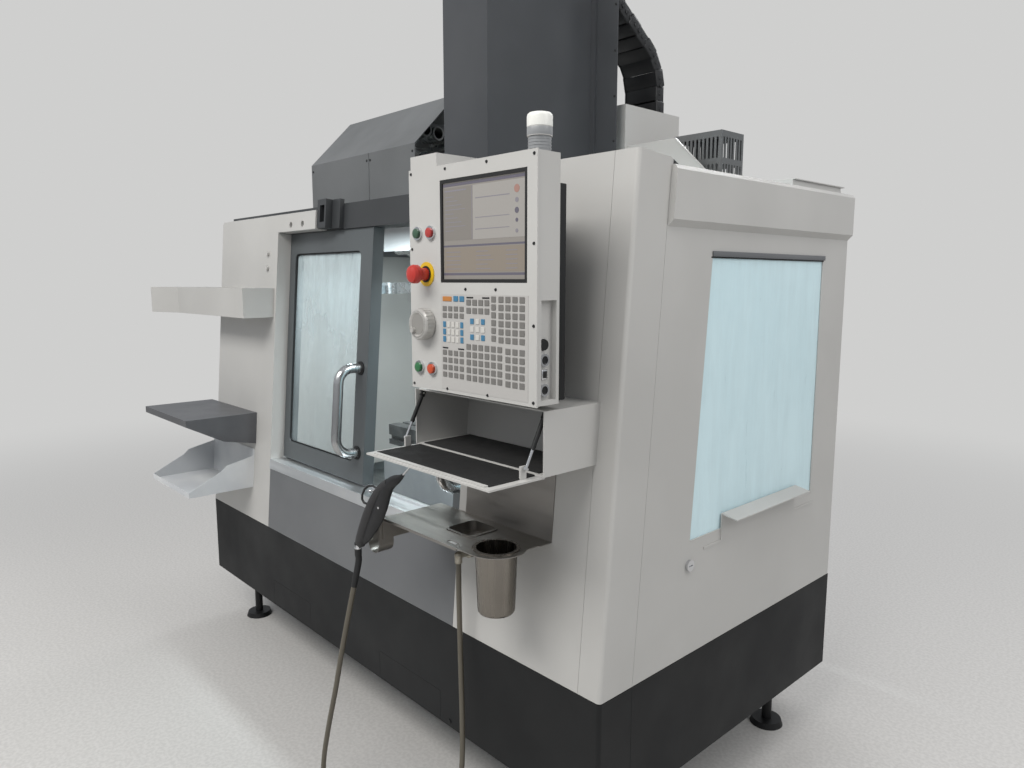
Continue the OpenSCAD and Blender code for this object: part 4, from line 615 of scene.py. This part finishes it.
def key_group(x, z, columns, rows, across, down, width, height, colours=(GREY,)):
    """A group of keys, its first one x from the machine's side and z above the pendant's foot.

    Its other sizes are the pitch of the keys across and down, and a key's width and height.
    """
    for i in range(columns):
        for j in range(rows):
            spot = at(HALF_WIDTH + x + i * across, PLATE_Y, PENDANT_FOOT + z - j * down)
            colour = colours[(i + j * columns) % len(colours)]
            block(keys, (-width / 2, -2.0, -height / 2), (width / 2, -0.5, height / 2), 0.7,
                  Matrix.Translation(spot), colour, 1)


key_group(-336, 189, 4, 2, 20, 15, 14, 11)
key_group(-337, 154, 5, 3, 15.3, 16.5, 10, 13, (BLUE, WHITE, WHITE, WHITE, BLUE))
key_group(-337, 91, 4, 4, 19.9, 16.5, 14, 11.5)
key_group(-326.5, 210.5, 1, 1, 20, 15, 32, 10.5, (ORANGE,))
key_group(-296, 211, 2, 1, 21, 15, 16, 12, (BLUE,))
key_group(-252, 204, 4, 2, 20, 17.5, 15, 12.5)
key_group(-241, 164, 3, 3, 18, 17, 12, 12, (BLUE, WHITE, BLUE, WHITE, WHITE, WHITE, BLUE, WHITE, BLUE))
key_group(-171, 212, 1, 6, 20, 16.2, 14, 12.5)
key_group(-148, 212, 4, 6, 21, 16.6, 15, 12.5)
key_group(-253, 108.5, 6, 5, 20.2, 16.9, 14.5, 12.5)
key_group(-127, 106.5, 3, 5, 21, 16.8, 15, 12.5)
# Thin dark bars that head some of the groups
for x0, x1, z in ((-259, -237, 213), (-207, -184, 213), (-344, -325, 100), (-289, -269, 100)):
    block(keys, (HALF_WIDTH + x0, PLATE_Y - 1.3, PENDANT_FOOT + z),
          (HALF_WIDTH + x1, PLATE_Y - 0.4, PENDANT_FOOT + z + 3), 0.0, DRAWING, BAR)
block(keys, (HALF_WIDTH - 350, PLATE_Y - 0.6, PENDANT_FOOT + 8),
      (HALF_WIDTH - 68, PLATE_Y, PENDANT_FOOT + 221), 0.0, DRAWING, SHEET)
key_caps = piece("key_caps", keys, [key_grey, key_blue, key_orange, key_white, seal_rubber, key_sheet],
                 "pendant")
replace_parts(key_caps, "keypad")

# Screen: a dark rim, the lit panel and a plain layout of fields without words
RIM = 7
rim = bmesh.new()
rounded_frame(rim, (0.5, 0.5), (SCREEN_WIDTH - 0.5, SCREEN_HEIGHT - 0.5), 3, RIM, 4.5,
              Matrix.Translation(at(SCREEN_X, PLATE_Y + 5, SCREEN_Z)))
piece("screen_rim", rim, [seal_rubber], "pendant")

BACK, PALE, LEFT, TABLE, TITLE, LINE, MARK = range(7)
PICTURE_WIDTH = SCREEN_WIDTH - 2 * RIM
PICTURE_HEIGHT = SCREEN_HEIGHT - 2 * RIM
# Fields keep a margin on both sides, and the rows in them are plain bars at one pitch
MARGIN = 3
COLUMN = 98
LINE_PITCH = 9
LINE_HEIGHT = 1.6
picture = bmesh.new()
picture_place = Matrix.Translation(at(SCREEN_X + RIM, PLATE_Y + 3.6, SCREEN_Z + RIM))


def field(x0, z0, x1, z1, lift, shade):
    """A flat field of the picture, lifted so that it lies over the one behind."""
    block(picture, (x0, -lift, z0), (x1, 0.3, z1), 0.0, picture_place, shade)


field(0, 0, PICTURE_WIDTH, PICTURE_HEIGHT, 0.0, BACK)
for foot, top in ((199, 205), (70, 74), (9, 14)):
    field(0, foot, PICTURE_WIDTH, top, 0.3, TITLE)
field(MARGIN, 84, COLUMN, 196, 0.3, LEFT)
field(COLUMN + 4, 84, PICTURE_WIDTH - MARGIN, 196, 0.3, PALE)
field(MARGIN, 16, PICTURE_WIDTH - MARGIN, 68, 0.3, TABLE)
field(COLUMN, 84, COLUMN + 2, 196, 0.4, LINE)
for foot, top in ((168, 170), (128, 129.5), (104, 105.5)):
    field(110, foot, 216, top, 0.5, LINE)
field(6, 188, 80, 191, 0.5, LINE)
for row in range(9):
    z = 176 - row * LINE_PITCH
    field(8, z, 38 + 13 * (row * 5 % 4), z + LINE_HEIGHT, 0.5, LINE)
for row in range(5):
    z = 58 - row * LINE_PITCH
    for x0, x1 in ((10, 60), (112, 150 + 9 * (row % 3)), (206, 240)):
        field(x0, z, x1, z + LINE_HEIGHT, 0.5, LINE)
for z, radius, shade in ((178, 8, MARK), (156, 5, LINE), (136, 6, TITLE), (117, 4, TITLE), (96, 4, LINE)):
    drum(picture, (radius, radius), 0.5, picture_place @ moved(238, -0.2, z) @ TOWARDS_FRONT, 20, shade)
piece("screen_picture", picture, [picture_back, picture_pale, picture_left, picture_table, picture_bar,
                                  picture_line, picture_mark], "pendant", smooth=False)

# Yellow disc and seal of the emergency stop, and chromed collars of the push buttons
BUTTON_LEFT = HALF_WIDTH - 432
BUTTON_RIGHT = HALF_WIDTH - 383
BUTTON_LOW = PENDANT_FOOT + 50
BUTTON_HIGH = PENDANT_FOOT + 357
trim = bmesh.new()
stop_place = Matrix.Translation(at(HALF_WIDTH - 401, PLATE_Y, PENDANT_FOOT + 265)) @ TOWARDS_FRONT
ring(trim, 14.6, 27.4, 3.0, stop_place, 0)
ring(trim, 14.7, 18.6, 5.0, stop_place, 2)
for x in (BUTTON_LEFT, BUTTON_RIGHT):
    for z in (BUTTON_LOW, BUTTON_HIGH):
        ring(trim, 11.5, 15.4, 5.6, Matrix.Translation(at(x, PLATE_Y, z)) @ TOWARDS_FRONT, 1, 32)
piece("control_collars", trim, [ring_yellow, chrome, seal_rubber], "pendant")

# Caps stepped up over the push buttons, riding on the buttons
for body, x, z, colour in (
    ("power_on_button", BUTTON_LEFT, BUTTON_HIGH, button_dark_green),
    ("power_off_button", BUTTON_RIGHT, BUTTON_HIGH, button_red),
    ("cycle_start_button", BUTTON_LEFT, BUTTON_LOW, button_green),
    ("feed_hold_button", BUTTON_RIGHT, BUTTON_LOW, button_orange),
):
    cap = bmesh.new()
    where = Matrix.Translation(at(x, PLATE_Y - 9, z)) @ TOWARDS_FRONT
    drum(cap, (11.0, 10.2), 1.2, where, 32)
    drum(cap, (9.4, 7.6), 0.8, where @ moved(z=1.2), 32)
    piece(body + "_cap", cap, [colour], body)

# Jog wheel: a recessed grey disc and fine marks round its rim, every fifth one longer
MARKS = 50
MARK_END = 30.6
marks = bmesh.new()
hub = Matrix.Translation(at(HALF_WIDTH - 405, PLATE_Y - 25.4, PENDANT_FOOT + 152)) @ TOWARDS_FRONT
drum(marks, (23.5, 23.5), 0.5, hub, 40, 1)
for i in range(MARKS):
    length = 1.6 if i % 5 else 2.6
    block(marks, (MARK_END - length, -0.22, 2.55), (MARK_END, 0.22, 3.05), 0.0,
          hub @ Matrix.Rotation(2 * math.pi * i / MARKS, 4, "Z"), 0)
piece("jog_wheel_face", marks, [seal_rubber, wheel_recess], "jog_wheel")

# Sockets in the recess on the pendant's right side: two round ports, a square one and a jack
PORT_X = PENDANT_RIGHT - 16
PORT_Y = -120.5
sockets = bmesh.new()
for z in (1229, 1290):
    where = Matrix.Translation(at(PORT_X, PORT_Y, z)) @ TOWARDS_RIGHT
    ring(sockets, 8.6, 12.8, 5.0, where, 1, 32)
    drum(sockets, (8.5, 8.5), 2.4, where, 24, 0)
block(sockets, (PORT_X - 0.4, -129, 1251), (PORT_X + 4.5, -112, 1271), 1.2, DRAWING, 1)
block(sockets, (PORT_X + 4, -126, 1254), (PORT_X + 4.9, -115, 1268), 0.4, DRAWING, 0)
drum(sockets, (11.6, 10.8), 5.0, Matrix.Translation(at(PORT_X - 1, PORT_Y, 1321)) @ TOWARDS_RIGHT, 28, 0)
piece("pendant_sockets", sockets, [socket_black_and_recess_shade, chrome], "pendant")

# Beacon: a ribbed grey base and a milky dome
BEACON_X = PENDANT_RIGHT - 30
BEACON_Y = PLATE_Y + 35
BEACON_BASE = 46.2
beacon_place = Matrix.Translation(at(BEACON_X, BEACON_Y, PENDANT_TOP))
base = bmesh.new()
drum(base, (22.4, 22.4), 28.6, beacon_place, 40)
for i in range(4):
    ring(base, 21.5, 23.2, 2.2, beacon_place @ moved(z=3.9 + 6 * i), 0, 40)
drum(base, (25.3, 25.3), 17.0, beacon_place @ moved(z=28.5), 40, 0, 1.5)
piece("beacon_base", base, [beacon_base], "pendant")
dome = bmesh.new()
turned(dome, ((0.0, 27.4), (17.0, 27.0), (21.5, 25.8), (24.4, 23.0), (25.4, 19.0), (25.4, 0.0), (0.0, 0.0)),
       beacon_place @ moved(z=BEACON_BASE), 0, 48, closed=False)
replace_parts(piece("beacon_dome", dome, [beacon_plastic], "pendant"), "beacon")

# Black plate behind the pendant, seen past its rear edge: painted shade of the dark gap between the pendant
# and the machine's face
gap_shade_plate = bmesh.new()
block(gap_shade_plate, (HALF_WIDTH - 160, -93, PENDANT_FOOT + 7), (HALF_WIDTH - 51, -66, PENDANT_FOOT + 442), 2.0,
      DRAWING, 0)
piece("pendant_gap_shade_plate", gap_shade_plate, [black_coat], "pendant")

# Doors: seals round the windows, face sheets with rounded windows, washers under the handles


def door_x(body, x):
    """A place across the left door, or its mirror image on the right door, which rests open."""
    return x if body == "left_door" else DOOR_SLIDE - x


def door_corners(body, corners, grow=0.0):
    """The lower left and the upper right corner of a rectangle on a door, grown by a margin."""
    left, right = sorted(door_x(body, corner[0]) for corner in corners)
    return (left - grow, corners[0][1] - grow), (right + grow, corners[1][1] + grow)


def door_seal(body):
    bm = bmesh.new()
    low, high = door_corners(body, DOOR_WINDOW, 1.5)
    rounded_frame(bm, low, high, 21, 7, 3.2, FRONT_FACE @ moved(y=59.5))
    piece(body + "_seal", bm, [seal_rubber], body)


def door_face(body):
    bm = bmesh.new()
    edges, window = door_corners(body, DOOR_EDGES), door_corners(body, DOOR_WINDOW)
    where = FRONT_FACE @ moved(y=DOOR_FRONT)
    loops = []
    for corners, radius, y in ((edges, 1.5, 0.3), (edges, 1.5, -0.5), (window, 20, -0.5), (window, 20, 0.3)):
        loops.append(rounded_loop(bm, *corners, radius, y, where))
    close_ring(bm, loops)
    piece(body + "_face", bm, [door_coat], body, False)


def handle_washers(body):
    bm = bmesh.new()
    for height in (370, 650):
        where = FRONT_FACE @ moved(door_x(body, -43), DOOR_FRONT, height) @ TOWARDS_FRONT
        ring(bm, 16.2, 22.6, 3.4, where @ moved(z=0.2), 0, 36)
    piece(body + "_handle_washers", bm, [seal_rubber], body)


for make in (door_seal, door_face, handle_washers):
    for body in ("left_door", "right_door"):
        make(body)

# Side window: a dark strip and a dark top seal above it, painted shade of its recess; thin light seals at its
# rear and foot
WINDOW_FOOT = SEAM_Z + 296
WINDOW_TOP = SEAM_Z + 985
WINDOW_FRONT = 330
WINDOW_REAR = 961
# The window's front edge leans, so the top pieces start further back
TOP_FRONT = 380
SEAL_IN = HALF_WIDTH - 2.6
SEAL_OUT = HALF_WIDTH + 0.6
strip = bmesh.new()
# Slate strip over the window: painted shade under the top of the recess
block(strip, (HALF_WIDTH - 0.4, TOP_FRONT + 4, WINDOW_TOP),
      (HALF_WIDTH + 4, WINDOW_REAR + 5, WINDOW_TOP + 13), 1.4, DRAWING, 0)
# Dark seal on the top edge only: painted shade, while the rear and foot seals keep the panel's coat
block(strip, (SEAL_IN, TOP_FRONT, WINDOW_TOP - 3.5), (SEAL_OUT, WINDOW_REAR + 1, WINDOW_TOP), 0.5, DRAWING, 1)
block(strip, (SEAL_IN, WINDOW_REAR - 4, WINDOW_FOOT), (SEAL_OUT, WINDOW_REAR, WINDOW_TOP - 1), 0.5,
      DRAWING, 2)
block(strip, (SEAL_IN, WINDOW_FRONT, WINDOW_FOOT - 0.8), (SEAL_OUT, WINDOW_REAR, WINDOW_FOOT + 2.5), 0.5,
      DRAWING, 2)
piece("side_window_trim_and_shade", strip, [slate_coat, seal_rubber, light_coat], "machine")

# Lens strips of the work lights under the header
LENS_SPREAD = 480
LENS_HALF_LENGTH = 222
lens = bmesh.new()
for x in (-LENS_SPREAD, LENS_SPREAD):
    block(lens, (x - LENS_HALF_LENGTH, 112, 1111.5), (x + LENS_HALF_LENGTH, 134, 1115.5), 1.5, FRONT_FACE)
piece("work_light_lenses", lens, [lamp_lens], "machine")

# Screws on the head cover's rear plate and on the changer cover
cover_screws = [at(x, 1045, z) for x in (-226, 226) for z in range(1640, 2620, 160)]
button_screws("cover_screws", cover_screws, TOWARDS_FRONT, "head", 5.0)
changer_screws = [at(x, 480, z) for x in (-1008, -570, -546, -258) for z in (1600, 1760, 1920)]
button_screws("changer_screws", changer_screws, TOWARDS_FRONT, "machine", 5.0)

# Ribbed rubber mat on the storage door and a plain one on the box's floor
MAT_LEFT = 602
MAT_RIGHT = 1006
MAT_FRONT = -249
BOX_FLOOR = 1050.2
RIDGES = 28
RIDGE_PITCH = 4.4
RIDGE_WIDTH = 1.8
mat = bmesh.new()
block(mat, (MAT_LEFT, MAT_FRONT, 1046.8), (MAT_RIGHT, -124, BOX_FLOOR + 0.4), 1.2, DRAWING, 0)
for i in range(RIDGES):
    y = MAT_FRONT + 2 + i * RIDGE_PITCH
    block(mat, (MAT_LEFT + 2, y, BOX_FLOOR), (MAT_RIGHT - 2, y + RIDGE_WIDTH, BOX_FLOOR + 1), 0.0, DRAWING, 0)
piece("door_mat", mat, [mat_rubber], "storage_door")
floor_mat = bmesh.new()
block(floor_mat, (MAT_LEFT + 1, -112, BOX_FLOOR), (MAT_RIGHT - 1, 34, BOX_FLOOR + 2.4), 0.8, DRAWING, 0)
piece("box_mat", floor_mat, [mat_rubber], "machine")

# Cable carrier: separate links with pins, bending between the column and the head
LINKS = 9
LINK = 60.0
CARRIER_Y = 1380.0
CARRIER_FOOT = 2100.0
RISE = 100.0
BEND = 190.0
TURN = math.radians(56)
ARC = BEND * TURN
SIDE_WIDTH = 8
CARRIER_LEFT = 20
CARRIER_RIGHT = 185


def carrier_at(run):
    """Place and lean of the carrier after a run from its foot: a straight rise, a bend and a straight end."""
    if run < RISE:
        return CARRIER_Y, CARRIER_FOOT + run, 0.0
    lean = min((run - RISE) / BEND, TURN)
    rest = max(run - RISE - ARC, 0.0)
    return (CARRIER_Y - BEND * (1 - math.cos(lean)) - rest * math.sin(lean),
            CARRIER_FOOT + RISE + BEND * math.sin(lean) + rest * math.cos(lean), lean)


chain = bmesh.new()
for i in range(LINKS):
    y, z, lean = carrier_at((i + 0.5) * LINK)
    where = Matrix.Translation(at(0, y, z)) @ Matrix.Rotation(lean, 4, "X")
    # Every second link is the narrower one that fits between its neighbours
    inset = 3 if i % 2 else 0
    for outer, inner in ((CARRIER_LEFT + inset, 1), (CARRIER_RIGHT - inset, -1)):
        sides = sorted((outer, outer + inner * SIDE_WIDTH))
        block(chain, (sides[0], -26, -34), (sides[1], 26, 32), 6.0, where, 0, 3)
        outwards = Matrix.Rotation(-inner * math.pi / 2, 4, "Y")
        for pin in (-30, 0):
            drum(chain, (9, 8), 2.2, where @ moved(outer, 0, pin) @ outwards, 16)
    for y in (-22, 22):
        block(chain, (26, y - 2.5, -27), (179, y + 2.5, 26), 1.5, where, 0)
block(chain, (14, 1349, CARRIER_FOOT), (191, 1411, CARRIER_FOOT + 8), 1.5, DRAWING, 0)
carrier = piece("carrier_links", chain, [black_plastic], None)
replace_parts(carrier, "cable_carrier")
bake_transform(carrier)

# Air hose: one length from the fitting under the shelf, down to the floor and up to the gun
HOSE_DIAMETER = 14.0
HOSE_STEPS = 6
HOSE_ROUTE = [
    (636, -34, 730), (636, -34, 690), (636, -34, 650), (641, -36, 540), (647, -38, 420), (655, -42, 300),
    (664, -52, 190), (672, -76, 100), (672, -118, 40), (658, -170, 12), (626, -224, 7.5), (575, -255, 7.5),
    (512, -272, 7.5), (446, -278, 7.5), (386, -276, 9), (340, -272, 24), (316, -268, 66), (318, -264, 140),
    (340, -258, 240), (368, -250, 350), (392, -242, 460), (410, -230, 560), (420, -214, 650),
    (423, -200, 715), (423, -200, 735), (423, -200, 752),
]


def smooth_line(route, steps):
    """Points on one smooth curve through a route, so many on each of its stretches."""
    route = [Vector(spot) for spot in route]
    line = []
    for i in range(len(route) - 1):
        before, start, end, after = route[max(i - 1, 0)], *route[i : i + 2], route[min(i + 2, len(route) - 1)]
        for step in range(steps):
            t = step / steps
            line.append(0.5 * (2 * start + t * (end - before)
                               + t * t * (2 * before - 5 * start + 4 * end - after)
                               + t * t * t * (3 * start - before - 3 * end + after)))
    line.append(route[-1])
    return line


line = smooth_line(HOSE_ROUTE, HOSE_STEPS)
curve = bpy.data.curves.new("air_hose_line", "CURVE")
curve.dimensions = "3D"
curve.bevel_depth = HOSE_DIAMETER / 2000
curve.bevel_resolution = 5
spline = curve.splines.new("POLY")
spline.points.add(len(line) - 1)
for point, spot in zip(spline.points, line):
    point.co = (*at(*spot), 1.0)
curve.materials.append(hose_rubber)
hose = bpy.data.objects.new("air_hose_line", curve)
bpy.context.scene.collection.objects.link(hose)
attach(hose, "machine")
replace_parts(hose, "air_hose")

# Blow gun in its hook, on the end of the hose
gun_place = Matrix.Translation(at(*HOSE_ROUTE[-1])) @ Matrix.Rotation(math.radians(8), 4, "Z")
gun = bmesh.new()


def gun_part(stations, material, segments=18):
    """A lofted part in the gun's own plane, from x, z, radius across and radius in depth."""
    spots = [(Vector((x, 0, z)), wide, deep) for x, z, wide, deep in stations]
    loft(gun, spots, gun_place, material, segments)


drum(gun, (10.5, 10.0), 5.0, gun_place @ moved(1, 0, 11.5), 24, 0, 0.8)
# Grip in grained plastic
gun_part([(6, 14, 11, 10), (9, 17, 15, 12.5), (15, 32, 16, 13.5), (30, 66, 16.5, 14), (46, 100, 16.5, 14),
          (64, 134, 15.5, 13), (80, 158, 14, 12), (96, 177, 13, 12), (112, 190, 12.5, 12),
          (128, 199, 12.5, 12)], 1)
# Smooth black body behind the grip, and its nozzle
gun_part([(26, 24, 8, 7), (38, 40, 13, 9), (58, 70, 18, 10.5), (80, 104, 22, 11), (98, 138, 21, 11.5),
          (112, 170, 19, 12), (126, 192, 16, 12), (140, 204, 14.5, 12), (150, 210, 13, 11.5),
          (158, 214, 11.5, 10.5), (170, 221, 7, 7), (177, 226, 4.6, 4.6), (180, 228, 3.6, 3.6)], 0)
gun_part([(176, 225, 2.8, 2.8), (190, 239, 2.8, 2.8), (203, 251, 2.8, 2.8)], 2, 12)
# Hook of the trigger's guard, the trigger and its screw
gun_part([(84, 176, 3, 3), (66, 181, 3, 3), (48, 177, 3, 3), (33, 166, 3, 3), (23, 150, 3, 3),
          (22, 138, 3, 3), (29, 130, 3, 3), (40, 129, 3, 3), (50, 134, 3, 3)], 0, 12)
gun_part([(86, 180, 2.6, 5), (70, 170, 2.6, 5), (58, 164, 2.4, 5), (50, 166, 2.2, 5)], 2, 12)
drum(gun, (3.0, 3.0), 1.0, gun_place @ moved(98, -11.2, 132) @ TOWARDS_FRONT, 16, 2)
gun_piece = piece("blow_gun", gun, [black_plastic, grip_plastic, chrome], "machine")
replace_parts(gun_piece, "air_gun")

# Swivel collar between the hose and the grip
collar = bmesh.new()
drum(collar, (9.0, 9.0), 4.0, gun_place, 24, 0, 0.6)
drum(collar, (7.6, 7.6), 9.0, gun_place @ moved(z=3.5), 6, 0)
collar_piece = piece("gun_collar", collar, [chrome], "machine")
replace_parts(collar_piece, "air_gun")

# Strain relief: a long sleeve that follows the hose below the gun, with its radii down its length
SLEEVE_LENGTH = 104
SLEEVE_RADII = (9.4, 9.4, 9.4, 8.8, 8.7, 8.6, 8.4, 7.6)
below, gone = [line[-1]], 0.0
for last, point in zip(line[::-1], line[-2::-1]):
    gone += (point - last).length
    if gone > SLEEVE_LENGTH:
        break
    below.append(point)
stations = []
for i, point in enumerate(below):
    share = i / (len(below) - 1)
    radius = SLEEVE_RADII[int(share * (len(SLEEVE_RADII) - 1) + 0.5)]
    stations.append((at(*point) * 1000, radius, radius))
relief = bmesh.new()
loft(relief, stations, segments=20)
relief_piece = piece("hose_strain_relief", relief, [relief_rubber], "machine")

# Stage: a plain pale floor that keeps the machine's shadow
BACKDROP = linear("#d9d9d8")
BACKDROP_STRENGTH = 0.9
SKY_FILL = linear("#dfe2e6")
SKY_STRENGTH = 0.66
# The floor passes into the backdrop between these distances from the machine, in metres
FLOOR_FADE = (1.6, 6.5)

floor_finish, floor_tree, floor_shader = finish("studio_floor", "#c6c4c1", 0.75)
tone(floor_tree, floor_shader, ("#c1bfbc", "#cbc9c6"), 90.0, detail=2.0)
# Only the camera sees the passage; the floor's light on the machine stays as it is
floor_place = add(floor_tree, "ShaderNodeTexCoord")
reach = add(floor_tree, "ShaderNodeVectorMath", {0: floor_place.outputs["Object"]}, operation="LENGTH")
far = add(floor_tree, "ShaderNodeMapRange", {"Value": reach.outputs["Value"]},
          interpolation_type="SMOOTHSTEP", From__Min=FLOOR_FADE[0], From__Max=FLOOR_FADE[1])
floor_rays = add(floor_tree, "ShaderNodeLightPath")
fade = add(floor_tree, "ShaderNodeMath", {0: far.outputs["Result"], 1: floor_rays.outputs["Is Camera Ray"]},
           operation="MULTIPLY")
haze = add(floor_tree, "ShaderNodeEmission", Color=BACKDROP, Strength=BACKDROP_STRENGTH)
joined = add(floor_tree, "ShaderNodeMixShader",
             {0: fade.outputs[0], 1: floor_shader.outputs[0], 2: haze.outputs[0]})
floor_tree.links.new(joined.outputs[0], floor_tree.nodes["Material Output"].inputs["Surface"])
bpy.ops.mesh.primitive_plane_add(size=60.0, location=(0, 0, 0))
floor = bpy.context.active_object
floor.name = "studio_floor"
floor.data.materials.append(floor_finish)

# World: an even fill of light, and the backdrop as the camera sees it
world = bpy.data.worlds.new("studio_world")
bpy.context.scene.world = world
world.use_nodes = True
sky = world.node_tree
sky.nodes.clear()
rays = add(sky, "ShaderNodeLightPath")
seen = add(sky, "ShaderNodeMath", {0: rays.outputs["Is Camera Ray"], 1: rays.outputs["Is Transmission Ray"]},
           operation="MAXIMUM")
fill = add(sky, "ShaderNodeBackground", Color=SKY_FILL, Strength=SKY_STRENGTH)
back = add(sky, "ShaderNodeBackground", Color=BACKDROP, Strength=BACKDROP_STRENGTH)
both = add(sky, "ShaderNodeMixShader", {0: seen.outputs[0], 1: fill.outputs[0], 2: back.outputs[0]})
add(sky, "ShaderNodeOutputWorld", {"Surface": both.outputs[0]})

bpy.context.scene.view_settings.view_transform = "Standard"
